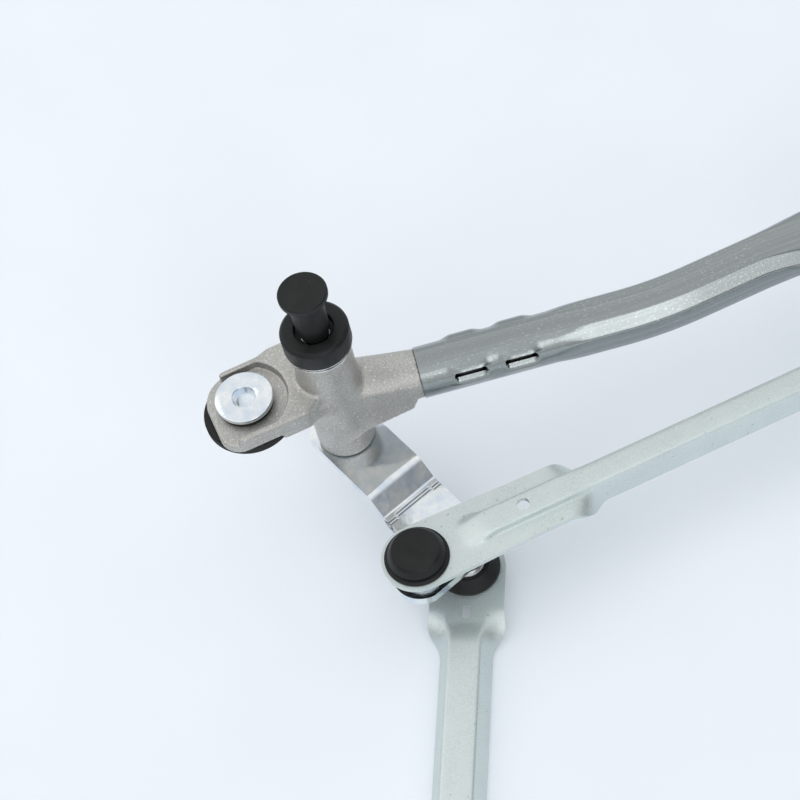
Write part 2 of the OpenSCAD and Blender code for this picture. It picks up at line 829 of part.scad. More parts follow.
// Black collar pressed over the barrel's nose, dished round the spindle
module dust_collar() {
  r = collar_d / 2;
  inside_top = ring_z + ring_t + free_gap;
  dish_r = collar_recess_d / 2;
  translate([0, 0, barrel_h])
    difference() {
      union() {
        cylinder(h = collar_h - collar_chamfer, r = r);
        translate([0, 0, collar_h - collar_chamfer])
          cylinder(h = collar_chamfer, r1 = r, r2 = r - collar_chamfer);
      }
      translate([0, 0, -cut]) cylinder(h = inside_top - barrel_h + cut, r = nose_d / 2 + seat_gap);
      translate([0, 0, collar_h - collar_recess]) cylinder(h = collar_recess + cut, r = dish_r);
      cylinder(h = collar_h, r = journal_r + free_gap);
    }
}

module dust_collar_left() {
  color(plastic_black) in_frame() dust_collar();
}

module dust_collar_right() {
  color(plastic_black) in_frame() at_right() dust_collar();
}

// Rubber grommet that clips into a plate of a given thickness, with its seat at z = 0
module grommet(groove) {
  difference() {
    union() {
      translate([0, 0, -groove - grommet_h + edge]) cylinder(h = grommet_h - 2 * edge, d = grommet_d);
      translate([0, 0, -groove - grommet_h]) cylinder(h = edge, d1 = grommet_d - 2 * edge, d2 = grommet_d);
      translate([0, 0, -groove - edge]) cylinder(h = edge, d1 = grommet_d, d2 = grommet_d - 2 * edge);
      translate([0, 0, -groove - edge]) cylinder(h = groove + lip_h, d = grommet_neck_d);
      cylinder(h = lip_h, d = lip_d);
    }
    translate([0, 0, -groove - grommet_h - cut])
      cylinder(h = groove + grommet_h + lip_h + 2 * cut, d = sleeve_d + 2 * seat_gap);
  }
}

// Flanged steel sleeve that takes the fixing screw through a grommet
module sleeve(groove) {
  low = -groove - grommet_h - sleeve_tail;
  difference() {
    union() {
      translate([0, 0, low]) cylinder(h = lip_h + sleeve_flange_t - low, d = sleeve_d);
      translate([0, 0, lip_h]) cylinder(h = sleeve_flange_t, d = sleeve_flange_d);
    }
    translate([0, 0, low - cut]) cylinder(h = lip_h + sleeve_flange_t - low + 2 * cut, d = sleeve_bore);
  }
}

module at_ear() {
  translate([-ear_x, ear_y, seat_z]) children();
}

module at_bracket_fixing() {
  translate([bracket_fix_at[0], bracket_fix_at[1], plate_top]) children();
}

module mount_grommet_left() {
  color(rubber_black) in_frame() at_ear() grommet(ear_t);
}

module mount_grommet_right() {
  color(rubber_black) in_frame() mirrored_right() at_ear() grommet(ear_t);
}

module mount_grommet_motor() {
  color(rubber_black) in_frame() at_bracket_fixing() grommet(plate_t);
}

module mount_sleeve_left() {
  color(zinc_bright) in_frame() at_ear() sleeve(ear_t);
}

module mount_sleeve_right() {
  color(zinc_bright) in_frame() mirrored_right() at_ear() sleeve(ear_t);
}

module mount_sleeve_motor() {
  color(zinc_bright) in_frame() at_bracket_fixing() sleeve(plate_t);
}

// Spindle riveted into its crank, with a ring groove, a tapered arm seat and a thread
module spindle() {
  low = crank_top - crank_t;
  difference() {
    union() {
      translate([0, 0, low - tail_head_h])
        cylinder(h = tail_head_h, d1 = tail_head_d - 2 * edge, d2 = tail_head_d);
      translate([0, 0, low]) cylinder(h = cone_z - low, r = journal_r);
      translate([0, 0, cone_z]) cylinder(h = seat_len, d1 = spindle_d, d2 = seat_top_d);
      translate([0, 0, thread_z - cut]) cylinder(h = thread_len + cut - edge, d = thread_d);
      translate([0, 0, spindle_top - edge]) cylinder(h = edge, d1 = thread_d, d2 = thread_d - 2 * edge);
    }
    translate([0, 0, ring_z])
      difference() {
        cylinder(h = ring_t, d = 2 * spindle_d);
        translate([0, 0, -cut]) cylinder(h = ring_t + 2 * cut, r = journal_r - groove_depth);
      }
  }
}

module spindle_left() {
  color(steel_grey) in_frame() spindle();
}

module spindle_right() {
  color(steel_grey) in_frame() at_right() spindle();
}

module washer(z) {
  translate([0, 0, z])
    difference() {
      cylinder(h = washer_t, d = washer_d);
      translate([0, 0, -cut]) cylinder(h = washer_t + 2 * cut, r = journal_r + seat_gap);
    }
}

module foot_washer_left() {
  color(steel_grey) in_frame() washer(crank_top);
}

module foot_washer_right() {
  color(steel_grey) in_frame() at_right() washer(crank_top);
}

module top_washer_left() {
  color(steel_grey) in_frame() washer(top_washer_z);
}

module top_washer_right() {
  color(steel_grey) in_frame() at_right() washer(top_washer_z);
}

// Open spring ring snapped into the spindle's groove
module retaining_ring() {
  inner_r = journal_r - groove_depth + seat_gap;
  translate([0, 0, ring_z])
    difference() {
      cylinder(h = ring_t, d = ring_d);
      translate([0, 0, -cut]) cylinder(h = ring_t + 2 * cut, r = inner_r);
      translate([-inner_r / 2, 0, -cut]) cube([inner_r, ring_d, ring_t + 2 * cut]);
    }
}

module retaining_ring_left() {
  color(steel_grey) in_frame() retaining_ring();
}

module retaining_ring_right() {
  color(steel_grey) in_frame() at_right() retaining_ring();
}

// Pull-off cap over the arm seat and thread, with a finger button on top
module spindle_cap() {
  button_r = cap_d / 2;
  neck_r = cap_neck_d / 2;
  slope = (spindle_d - seat_top_d) / 2 / seat_len;
  foot_gap_r = journal_r - slope * (cap_foot - cone_z) + ball_gap;
  difference() {
    rotate_extrude()
      polygon(concat(
        [[0, cap_foot], [neck_r - edge, cap_foot], [neck_r, cap_foot + edge]],
        [[neck_r, cap_top - cap_button_h - edge], [neck_r + edge, cap_top - cap_button_h]],
        [[button_r - edge, cap_top - cap_button_h], [button_r, cap_top - cap_button_h + edge]],
        arc([button_r - cap_round, cap_top - cap_round], cap_round, 0, 90, 5),
        [[0, cap_top]]
      ));
    translate([0, 0, cap_foot])
      cylinder(h = thread_z - cap_foot, r1 = foot_gap_r, r2 = seat_top_d / 2 + ball_gap);
    translate([0, 0, cap_foot - cut]) cylinder(h = 2 * cut, r = foot_gap_r);
    translate([0, 0, cap_foot])
      cylinder(h = spindle_top + free_gap - cap_foot, r = thread_d / 2 + ball_gap);
  }
}

module spindle_cap_left() {
  color(plastic_black) in_frame() spindle_cap();
}

module spindle_cap_right() {
  color(plastic_black) in_frame() at_right() spindle_cap();
}

// Side view of a joggled strip of a given reach, drawn with its root's top face at height 0
module joggled_strip(reach) {
  fall = atan(joggle_drop / joggle_run);
  outer_r = bend_round + crank_t;
  first = [joggle_at - outer_r * tan(fall / 2), -outer_r];
  second = [joggle_at + joggle_run + bend_round * tan(fall / 2), bend_round - joggle_drop];
  low = -joggle_drop - crank_t;
  polygon(concat(
    [[-crank_w, -crank_t], [-crank_w, 0]],
    arc(first, outer_r, 90, 90 - fall, bend_steps),
    arc(second, bend_round, 270 - fall, 270, bend_steps),
    [[reach + crank_w, -joggle_drop], [reach + crank_w, low]],
    arc(second, outer_r, 270, 270 - fall, bend_steps),
    arc(first, bend_round, 90 - fall, 90, bend_steps)
  ));
}

// Strip of a given reach cut to a plan outline
module crank_blank(reach) {
  intersection() {
    translate([0, 0, crank_top])
      rotate([90, 0, 0])
        linear_extrude(4 * crank_w, center = true) joggled_strip(reach);
    translate([0, 0, crank_low - 2 * crank_t])
      linear_extrude(joggle_drop + 4 * crank_t) children();
  }
}

// Hole for a riveted tail through a crank, at a place along its strip
module crank_hole(at, top, d) {
  translate([at[0], at[1], top - crank_t - cut]) cylinder(h = crank_t + 2 * cut, d = d + 2 * seat_gap);
}

// Left crank: a square-ended strip to the drive ball, with a lobe beside it for the link ball
module crank_left() {
  half_w = crank_w / 2;
  lobe_at = link_ball_r * [cos(-ball_angle), sin(-ball_angle)];
  reach = drive_ball_r + crank_end;
  lobe_out = acos(min(1, (reach - lobe_at[0]) / lobe_r));
  color(zinc_bright)
    in_frame()
      rotate([0, 0, crank_rest])
        difference() {
          crank_blank(reach)
            polygon(concat(
              arc([0, 0], half_w, 90, 270, 16),
              [[joggle_at + 2 * joggle_run, -half_w]],
              arc(lobe_at, lobe_r, lobe_start, 360 - lobe_out, 12),
              arc([reach - crank_corner, half_w - crank_corner], crank_corner, 0, 90, 5)
            ));
          crank_hole([0, 0], crank_top, spindle_d);
          crank_hole(lobe_at, crank_low, tail_d);
          crank_hole([drive_ball_r, 0], crank_low, tail_d);
        }
}

// Right crank: a plain strip that ends round its one ball
module crank_right() {
  half_w = crank_w / 2;
  color(zinc_bright)
    in_frame()
      at_right()
        rotate([0, 0, link_dir])
          difference() {
            crank_blank(link_ball_r + lobe_r)
              polygon(concat(
                arc([0, 0], half_w, 90, 270, 16),
                [[joggle_at + joggle_run, -half_w]],
                arc([link_ball_r, 0], lobe_r, -tip_turn, tip_turn, 16),
                [[joggle_at + joggle_run, half_w]]
              ));
            crank_hole([0, 0], crank_top, spindle_d);
            crank_hole([link_ball_r, 0], crank_low, tail_d);
          }
}

// Ball stud standing on a face at z = 0, with its tail riveted through the crank
module ball_stud() {
  cylinder(h = shoulder_h, d = shoulder_d);
  cylinder(h = stud_h, d = stud_neck_d);
  translate([0, 0, stud_h]) sphere(d = ball_d);
  translate([0, 0, -crank_t]) cylinder(h = crank_t + shoulder_h, d = tail_d);
  translate([0, 0, -crank_t - rivet_head_h])
    cylinder(h = rivet_head_h, d1 = rivet_head_d - 2 * edge, d2 = rivet_head_d);
}

module at_link_ball(z) {
  translate([link_ball_at[0], link_ball_at[1], z]) children();
}

module at_drive_ball(z) {
  translate([drive_ball_at[0], drive_ball_at[1], z]) children();
}

module link_ball_left() {
  color(steel_grey) in_frame() at_link_ball(crank_low) ball_stud();
}

module link_ball_right() {
  color(steel_grey) in_frame() at_right() at_link_ball(crank_low) ball_stud();
}

module drive_ball() {
  color(steel_grey) in_frame() at_drive_ball(crank_low - crank_t) mirror([0, 0, 1]) ball_stud();
}

// Moulded ball socket in a link whose outer face is at z = 0, with its dome above and its mouth below
module ball_socket() {
  rim_r = socket_d / 2;
  dome_r = dome_top_d / 2;
  base_r = rim_r - socket_rim_h;
  neck_r = socket_neck_d / 2;
  mouth_z = -sheet_t - mouth_h;
  mouth_r = sqrt(socket_ball_r ^ 2 - (ball_sink + mouth_z) ^ 2);
  difference() {
    rotate_extrude()
      polygon([
        [0, dome_h], [dome_r - edge, dome_h], [dome_r, dome_h - edge],
        [base_r, socket_rim_h + 2 * edge],
        [base_r - edge, socket_rim_h + edge], [base_r - edge, socket_rim_h],
        [rim_r - edge, socket_rim_h], [rim_r, socket_rim_h - edge], [rim_r, 0],
        [neck_r, 0], [neck_r, -sheet_t],
        [rim_r, -sheet_t], [rim_r, -sheet_t - socket_rim_h], [mouth_r + mouth_lip, mouth_z], [0, mouth_z]
      ]);
    translate([0, 0, -ball_sink]) sphere(r = socket_ball_r);
    translate([0, 0, mouth_z - cut])
      cylinder(h = 2 * cut, r1 = mouth_r + 2 * cut, r2 = mouth_r - edge / 2);
  }
}

module link_socket_left() {
  color(plastic_black) in_frame() at_link_ball(link_face) ball_socket();
}

module link_socket_right() {
  color(plastic_black) in_frame() at_right() at_link_ball(link_face) ball_socket();
}

// Lay a child along the drive link, with its outer face turned down
module along_drive_link() {
  at_drive_ball(drive_face) rotate([0, 0, drive_rest]) children();
}

module drive_socket_crank() {
  color(plastic_black) in_frame() along_drive_link() mirror([0, 0, 1]) ball_socket();
}

module drive_socket_motor() {
  color(plastic_black)
    in_frame() along_drive_link() translate([drive_len, 0, 0]) mirror([0, 0, 1]) ball_socket();
}

// Half of a pressed strip's section: web, bead wall and flange, from the middle out
// fold goes from 0, flanges flat, to 1, flanges turned down into a channel
function strip_half(web, rise, half_w, depth, wall, bead, fold) =
  let (
    a = wall * bead,
    c = wall * fold,
    out = mix(half_w - web - rise * cos(a), (depth - rise * sin(a)) / sin(wall), fold),
    round = bend_share * rise,
    along_wall = [cos(a), -sin(a)],
    along_flange = [cos(c), -sin(c)],
    p1 = [web, rise * sin(a)],
    p2 = p1 + rise * along_wall,
    p3 = p2 + out * along_flange,
    a1 = p1 - [round, 0],
    b1 = p1 + round * along_wall,
    a2 = p2 - round * along_wall,
    b2 = p2 + round * along_flange
  )
  [[0, p1[1]], a1, (a1 + 2 * p1 + b1) / 4, b1, a2, (a2 + 2 * p2 + b2) / 4, b2, p3];

// Closed section of a strip at a distance along it, as points in space
function strip_ring(s, half) =
  let (
    top = concat([for (i = [len(half) - 1:-1:1]) [-half[i][0], half[i][1]]], half),
    under = moved(top, -sheet_t),
    loop = concat(top, reversed(under))
  )
  [for (p = loop) [s, p[0], p[1]]];

// Round end of a link with the hole for its socket, lapped a little into the strip
module link_end(end_r, reach, half_w) {
  translate([0, 0, lap_skin - sheet_t])
    difference() {
      linear_extrude(sheet_t - 2 * lap_skin)
        polygon(concat(
          arc([0, 0], end_r, 90, 270, 24),
          [[reach + lap, lap_skin - half_w], [reach + lap, half_w - lap_skin]]
        ));
      translate([0, 0, -cut]) cylinder(h = sheet_t + 2 * cut, d = socket_neck_d + 2 * seat_gap);
      children();
    }
}

// Pressed strip between the two round ends of a link, with its upper face at z = 0
// shape = [half width at the ball, flat half width, half web, channel depth, wall angle, bead height]
// runs = [strip start, bead start, bead end, fold start, fold end, nose tip, nose end], from either ball
function flat_half(shape, runs, s) = mix(shape[0], shape[1], ease(s, 0, runs[3]));
// Half width of the web, which widens from the tip of a bead's nose as a quarter ellipse
function web_half(shape, runs, s) =
  let (t = max(0, min(1, (s - runs[5]) / (runs[6] - runs[5]))))
    mix(bead_tip, shape[2], sqrt(1 - (1 - t) ^ 2));
function strip_at(shape, runs, s) =
  strip_half(
    web_half(shape, runs, s), shape[5], flat_half(shape, runs, s), shape[3], shape[4],
    ease(s, runs[1], runs[2]), ease(s, runs[3], runs[4])
  );
module pressed_strip(length, shape, runs) {
  near = [for (i = [0:strip_steps]) mix(runs[0], runs[4], i / strip_steps)];
  stations = concat(near, [for (s = reversed(near)) length - s]);
  skin([for (s = stations) strip_ring(s, strip_at(shape, runs, min(s, length - s)))]);
}

// Lay a child at both ends of a link, facing inwards
module at_both_ends(length) {
  children();
  translate([length, 0, 0]) mirror([1, 0, 0]) children();
}

module connecting_link() {
  start = socket_d / 2 + edge;
  shape = [link_end_d / 2, link_w / 2, link_channel_w / 2, link_channel_h, link_wall, bead_h];
  bead_end = bead_at + 3 * bead_h;
  fold_end = link_fold_at + link_channel_h + bead_h;
  runs = [start, bead_at, bead_end, link_fold_at, fold_end, bead_at, bead_at + link_channel_w];
  color(zinc_pale)
    in_frame()
      at_link_ball(link_face) {
        difference() {
          pressed_strip(pivot_gap, shape, runs);
          at_both_ends(pivot_gap)
            translate([link_hole_at, 0, -sheet_t]) cylinder(h = bead_h + 2 * sheet_t, d = link_hole_d);
        }
        at_both_ends(pivot_gap) link_end(link_end_d / 2, start, flat_half(shape, runs, start));
      }
}

module drive_link() {
  fold_end = drive_fold_at + 2 * drive_channel_h;
  half_w = drive_end_d / 2;
  shape = [half_w, half_w, drive_web_w / 2, drive_channel_h, drive_wall, drive_rise];
  rise_from = drive_fold_at + 2 * drive_rise;
  rise_to = fold_end - 4 * drive_rise;
  runs = [drive_fold_at, rise_from, rise_to, drive_fold_at, fold_end, 0, drive_slot_at];
  color(zinc_pale)
    in_frame()
      along_drive_link()
        translate([0, 0, sheet_t]) {
          pressed_strip(drive_len, shape, runs);
          at_both_ends(drive_len)
            link_end(half_w, drive_fold_at, half_w)
              translate([drive_slot_at, 0, -cut]) slot(drive_slot_len, drive_slot_w, sheet_t + 2 * cut);
        }
}

frame_tube();
motor_bracket();
bracket_rivets();
pivot_housing_left();
upper_bush_left();
lower_bush_left();
dust_collar_left();
mount_grommet_left();
mount_sleeve_left();
pivot_housing_right();
upper_bush_right();
lower_bush_right();
dust_collar_right();
mount_grommet_right();
mount_sleeve_right();
mount_grommet_motor();
mount_sleeve_motor();
spindle_left();
crank_left();
link_ball_left();
drive_ball();
foot_washer_left();
top_washer_left();
retaining_ring_left();
spindle_cap_left();
spindle_right();
crank_right();
link_ball_right();
foot_washer_right();
top_washer_right();
retaining_ring_right();
spindle_cap_right();
connecting_link();
link_socket_left();
link_socket_right();
drive_link();
drive_socket_crank();
drive_socket_motor();
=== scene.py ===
"""Looks of a wiper linkage: die-cast pivots on a bent tube, cranks, links and ball sockets."""
import json
import math
from collections import namedtuple

import bmesh
import bpy
import numpy as np
import openvdb
from mathutils import Matrix, Vector

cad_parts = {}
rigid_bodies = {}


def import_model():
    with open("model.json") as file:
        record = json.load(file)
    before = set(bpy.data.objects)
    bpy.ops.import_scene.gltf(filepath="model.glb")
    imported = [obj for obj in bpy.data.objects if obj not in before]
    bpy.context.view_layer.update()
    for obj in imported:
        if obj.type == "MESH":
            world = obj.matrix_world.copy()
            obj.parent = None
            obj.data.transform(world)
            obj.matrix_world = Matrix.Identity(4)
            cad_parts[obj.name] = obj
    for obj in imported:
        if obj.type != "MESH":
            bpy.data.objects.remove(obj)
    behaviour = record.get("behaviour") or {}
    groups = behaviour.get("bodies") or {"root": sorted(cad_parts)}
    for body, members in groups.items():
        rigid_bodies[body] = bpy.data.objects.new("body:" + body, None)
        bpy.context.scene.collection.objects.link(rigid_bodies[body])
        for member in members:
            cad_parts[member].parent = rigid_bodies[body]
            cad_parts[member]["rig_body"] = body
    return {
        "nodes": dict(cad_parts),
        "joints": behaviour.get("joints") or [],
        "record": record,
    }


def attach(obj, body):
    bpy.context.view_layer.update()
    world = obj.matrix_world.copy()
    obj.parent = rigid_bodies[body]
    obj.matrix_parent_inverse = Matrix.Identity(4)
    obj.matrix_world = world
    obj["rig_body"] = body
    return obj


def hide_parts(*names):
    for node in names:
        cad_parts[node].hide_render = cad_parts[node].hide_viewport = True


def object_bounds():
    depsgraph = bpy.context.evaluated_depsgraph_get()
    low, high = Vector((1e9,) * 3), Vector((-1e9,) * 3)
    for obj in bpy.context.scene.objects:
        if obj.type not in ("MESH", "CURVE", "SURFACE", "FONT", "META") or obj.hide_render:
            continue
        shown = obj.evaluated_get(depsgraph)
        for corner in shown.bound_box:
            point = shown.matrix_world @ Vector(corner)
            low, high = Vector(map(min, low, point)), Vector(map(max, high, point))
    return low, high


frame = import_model()
cad_low, cad_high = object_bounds()

# Places from the frame, in millimetres; the ear and the balls from the left spindle's foot
MM = 0.001
JOINTS = {
    joint["name"]: np.array(joint["pos_m"]) / MM
    for joint in frame["joints"] if "pos_m" in joint
}
MOUNTS = {mount["name"]: np.array(mount["pos_m"]) / MM for mount in frame["record"]["mounts"]}
SLOTS = {part["node"]: part["material_slot"] for part in frame["record"]["subparts"]}
FOOT = JOINTS["wipe_left"]
PIVOT_GAP = JOINTS["wipe_right"][0] - FOOT[0]
EAR_AT = MOUNTS["left_fixing"] - FOOT
LINK_BALL = JOINTS["link_pivot"] - FOOT
DRIVE_BALL = JOINTS["drive_pivot"] - FOOT

# Camera of the photograph, about a point near the left spindle's foot
VIEW_AZIMUTH = -10.67
VIEW_ELEVATION = 56.43
VIEW_ROLL = -15.27
VIEW_TARGET = (23.85, 3.36, 0.0)
VIEW_DISTANCE = 769.35
VIEW_LENS = 90.0
VIEW_SENSOR = 36.0
VIEW_CLIP = (0.01, 50)

# Floor and key light, in metres
FLOOR_HALF = 6.0
FLOOR_DROP = 0.0005
KEY_AT = (-1.1, 0.4, 1.2)
KEY_AIM = (0.1, -0.1, 0)
KEY_SIZE = (2.0, 1.6)
KEY_WATTS = 5
KEY_COLOUR = (1.0, 0.99, 0.97)

# Panels of the studio: direction, cosines of the outer edge and the full part, levels
Panel = namedtuple("Panel", "toward edge full dim bright")
CEILING = Panel((0.10, 0.50, 0.86), 0.18, 0.80, 0.14, 0.90)
FRONT_STRIP = Panel((0.08, -0.82, 0.56), 0.95, 0.99, 0.0, 1.6)
FRONT_FILL = Panel((-0.31, -0.78, 0.54), 0.64, 0.95, 0.0, 0.75)
STUDIO_COLOUR = (0.965, 0.985, 1.0, 1)

# Rounding of the CAD nodes that stay, by the start of their names
EDGE_WIDTH = 0.2
EDGE_WIDTHS = {
    "motor_bracket": 0.4,
    "bracket_rivets": 0.9,
    "mount_grommet": 0.5,
    "mount_sleeve": 0.3,
    "dust_collar": 0.35,
}
WELD_GAP = 0.002

# Frame tube
TUBE_Z = 26.0
TUBE_TURN = math.radians(10.8)
TUBE_R = 9.75
TUBE_WALL = 1.5
TUBE_START = 32.3
TUBE_SIDES = 96
TUBE_FINE = 0.5
TUBE_COARSE = 3.0
TUBE_SHARP = math.radians(50)
SECTION_STEPS = 721
ROUND_LEN = 50.0
BEND_AT = 122.0
BEND_R = 160.0
SQUEEZE_RUN = 16.0
SQUEEZED_HALF = (8.95, 8.75)
SQUEEZED_POWER = 3.8
CREASE_REACH = 9.15
FLAT_HALF = (12.2, 5.5)
FLAT_POWER = 3.2
FLAT_LEN = 130.0
FLATTEN_RUN = 34.0

# Crimps of the tube over the casting's spigot, with a slit and bulges beside each
CRIMP_LEN = 12.4
CRIMP_W = 4.6
CRIMP_DEPTH = 2.6
CRIMP_CORNER = 1.5
CRIMP_AT = (18.5, 37.8)
CRIMP_LIFT = math.radians(20)
CRIMP_END_RUN = 1.0
SLIT_SHARE = 0.42
SLIT_DEPTH = 4.4
SLIT_NUDGE = 0.006
BULGE = 1.1
BULGE_END_RUN = 2.5
BULGE_ABOVE_W = 2.4
BULGE_BELOW_W = 1.6
BULGE_BELOW_GAP = 1.0
BULGE_BELOW_SHARE = 0.4

# Die-cast pivot
CAST_STEP = 0.45
BARREL_R = 11.1
BARREL_H = 62.0
RIM_R = 12.1
RIM_H = 2.5
NOSE_R = 9.6
NOSE_H = 2.5
BORE_R = 6.54
ARM_R = 9.2
ARM_ROOT_R = 11.5
ARM_FLARE_R = 13.6
ARM_TAPER_POWER = 0.8
ARM_W = 18.0
ARM_DRAFT = 0.08
SPIGOT_R = 8.2
SPIGOT_FROM = 1.0
SPIGOT_LEN = 48.0
SPIGOT_POCKET_RISE = 2.6
SPIGOT_POCKET_HALF = 4.6
SPIGOT_POCKET_PLAY = 0.6
SPIGOT_POCKET_DEEPER = 0.8
GUSSET_Z = 13.0
GUSSET_END_Z = 18.0
GUSSET_STEP = 2.5
EAR_FRONT = 17.0
EAR_BACK = 15.4
EAR_NOSE = 14.0
EAR_FRONT_CORNER = 8.0
EAR_BACK_CORNER = 12.5
EAR_Z = 35.5
EAR_T = 4.0
RIB_H = 3.5
RIB_W = 2.4
RIB_FRONT_REACH = 8.4
RIB_BACK_REACH = 4.9
RECESS_R = 16.0
WEB_DROP = 3.2
WEB_SWELL = 1.5
WEB_ROUND = 6.0
WEB_TURN = 32.0
WEB_TIP = 235.0
SWELL_RUN = 6.4
HOLLOW_R = 20.0
POCKET_R = 18.15
GROMMET_HOLE_R = 9.04

# Roundings of the casting: outer edges, fillets, and a cut's own edge with its rim
BARREL_EDGE = 0.6
RIM_EDGE = 0.25
NOSE_EDGE = 0.3
EAR_EDGE = 1.5
DRAFT_EDGE = 0.5
WEB_FILLET = 6.0
EAR_FILLET = 1.8
ARM_FILLET = 2.6
RIM_FILLET = 1.6
RECESS_EDGE, RECESS_RIM = 0.7, 1.0
POCKET_EDGE, POCKET_RIM = 0.4, 0.6
HOLE_EDGE, HOLE_RIM = 0.3, 0.4

# Soft limits of the barrel's turned finish and of a dark band painted on it as a groove's shade,
# below the barrel's top
TURNED_FROM = (2.7, 2.4)
GROOVE_SHADE_FROM = (1.6, 1.4)
GROOVE_SHADE_TO = (0.9, 0.7)

# Spindle heights above the barrel's foot, and its small forms
CRANK_TOP = -0.6
HEAD_R = 7.5
HEAD_H = 1.5
HEAD_STEP = 0.5
HEAD_TAPER = 0.35
JOURNAL_RINGS = (20.0, 40.0)
SPINDLE_R = 5.0
RING_Z = 65.1
RING_T = 1.0
RING_DEPTH = 0.6
CONE_Z = 68.3
SEAT_TOP_R = 4.3
TEETH = 40
TEETH_GAP = 0.3
TEETH_RUN = 0.2
TOOTH_DEPTH = 0.14
THREAD_Z = 77.3
THREAD_R = 4.0
THREAD_PITCH = 1.25
THREAD_DEPTH = 0.35
THREAD_STEP = 0.2
THREAD_CHAMFER = 0.8
SPINDLE_TOP = 88.3
SPINDLE_SHARP = math.radians(35)
SHARP_STEP = 0.02

# Caps: radii with heights above the foot for the neck, and below the top for the button
CAP_FOOT = 70.5
CAP_TOP = 92.6
CAP_NECK = ((5.7, 0.0), (6.0, 0.6), (6.1, 6.0))
CAP_BUTTON = (
    (6.4, 7.4), (6.8, 5.0), (7.4, 3.4), (8.5, 2.7), (8.9, 2.3), (8.9, 0.5), (8.5, 0.0), (0.0, 0.3),
)
CAP_SIDES = 96
CAP_ROOF_GAP = 0.4
CAP_PLAY = 0.1
CAP_EDGE = 0.2

# Cranks, with a double line scribed past the joggle
CRANK_HALF_W = 12.5
CRANK_T = 4.0
CRANK_EDGE = 0.8
CRANK_STEP = 2.0
CRANK_COLUMNS = 61
JOGGLE_AT = 28.0
JOGGLE_RUN = 7.5
JOGGLE_DROP = 6.0
STRIP_END = JOGGLE_AT + 2 * JOGGLE_RUN
BEND_INNER_R = 1.5
BEND_STEPS = 8
ROOT_CORNER = 6.5
ROOT_STEPS = 20
LOBE_R = 11.0
LOBE_START = 215.0
TIP_TURN = 85.0
TIP_STEPS = 40
CRANK_END = 6.6
CRANK_CORNER = 4.0
SCRIBE_GAP = 1.3
SCRIBE_JOG = 0.9
SCRIBE_HALF = 8.6
SCRIBE_BREAK = 0.45
SCRIBE_W = 0.2
SCRIBE_DEPTH = 0.45
SCRIBE_MARGIN = 0.8
SCRIBE_STEP = 0.12

# Pressed links. Along a link, places are counted from its nearer ball: where its strip starts,
# where bead, flanges and the bead's nose form, and where its small hole lies
BALL_SINK = 3.5
SHEET_T = 2.0
SHEET_EDGE = 0.22
SOCKET_HOLE_R = 10.04
BEAD_TIP = 1.3
BEND_SHARE = 0.46
FOLDED_SHARE = 0.85
CURVE_LIMIT = 0.8
HOLE_MARGIN = 1.2
LINK_STEP = 0.8
Link = namedtuple("Link", [
    "length", "end_r", "half_w", "web", "depth", "wall", "rise", "start",
    "bead", "fold", "nose", "hole_at", "hole_half", "hole_r", "hole_cols",
])
CONNECTING = Link(
    length=PIVOT_GAP, end_r=13.3, half_w=12.0, web=5.0, depth=13.5, wall=math.radians(87),
    rise=3.0, start=12.65, bead=(15.5, 31.0), fold=(57.0, 73.5), nose=(15.0, 31.0),
    hole_at=43.0, hole_half=0.0, hole_r=2.5, hole_cols=2,
)
DRIVE = Link(
    length=240.0, end_r=14.0, half_w=14.0, web=6.0, depth=9.0, wall=math.radians(67),
    rise=1.4, start=13.6, bead=(22.0, 32.0), fold=(17.0, 34.5), nose=(0.0, 16.0),
    hole_at=18.4, hole_half=1.3, hole_r=1.7, hole_cols=1,
)
DRIVE_REST = math.radians(-117.3)


def smooth_step(x, low, high):
    t = np.clip((x - low) / (high - low), 0, 1)
    return t * t * (3 - 2 * t)


def mix(a, b, t):
    return a + (b - a) * t


def arc(centre, radius, start, end, steps):
    """Points on an arc, from one angle to another in degrees."""
    turn = np.radians(np.linspace(start, end, steps + 1))
    x = centre[0] + radius * np.cos(turn)
    return np.stack([x, centre[1] + radius * np.sin(turn)], axis=1)


def polar(radius, turn):
    return np.array([radius * math.cos(turn), radius * math.sin(turn)])


# Materials

def set_range(node, low, high, out_low, out_high):
    """Sets the ends of a Map Range node."""
    ends = {"From Min": low, "From Max": high, "To Min": out_low, "To Max": out_high}
    for name, value in ends.items():
        node.inputs[name].default_value = value


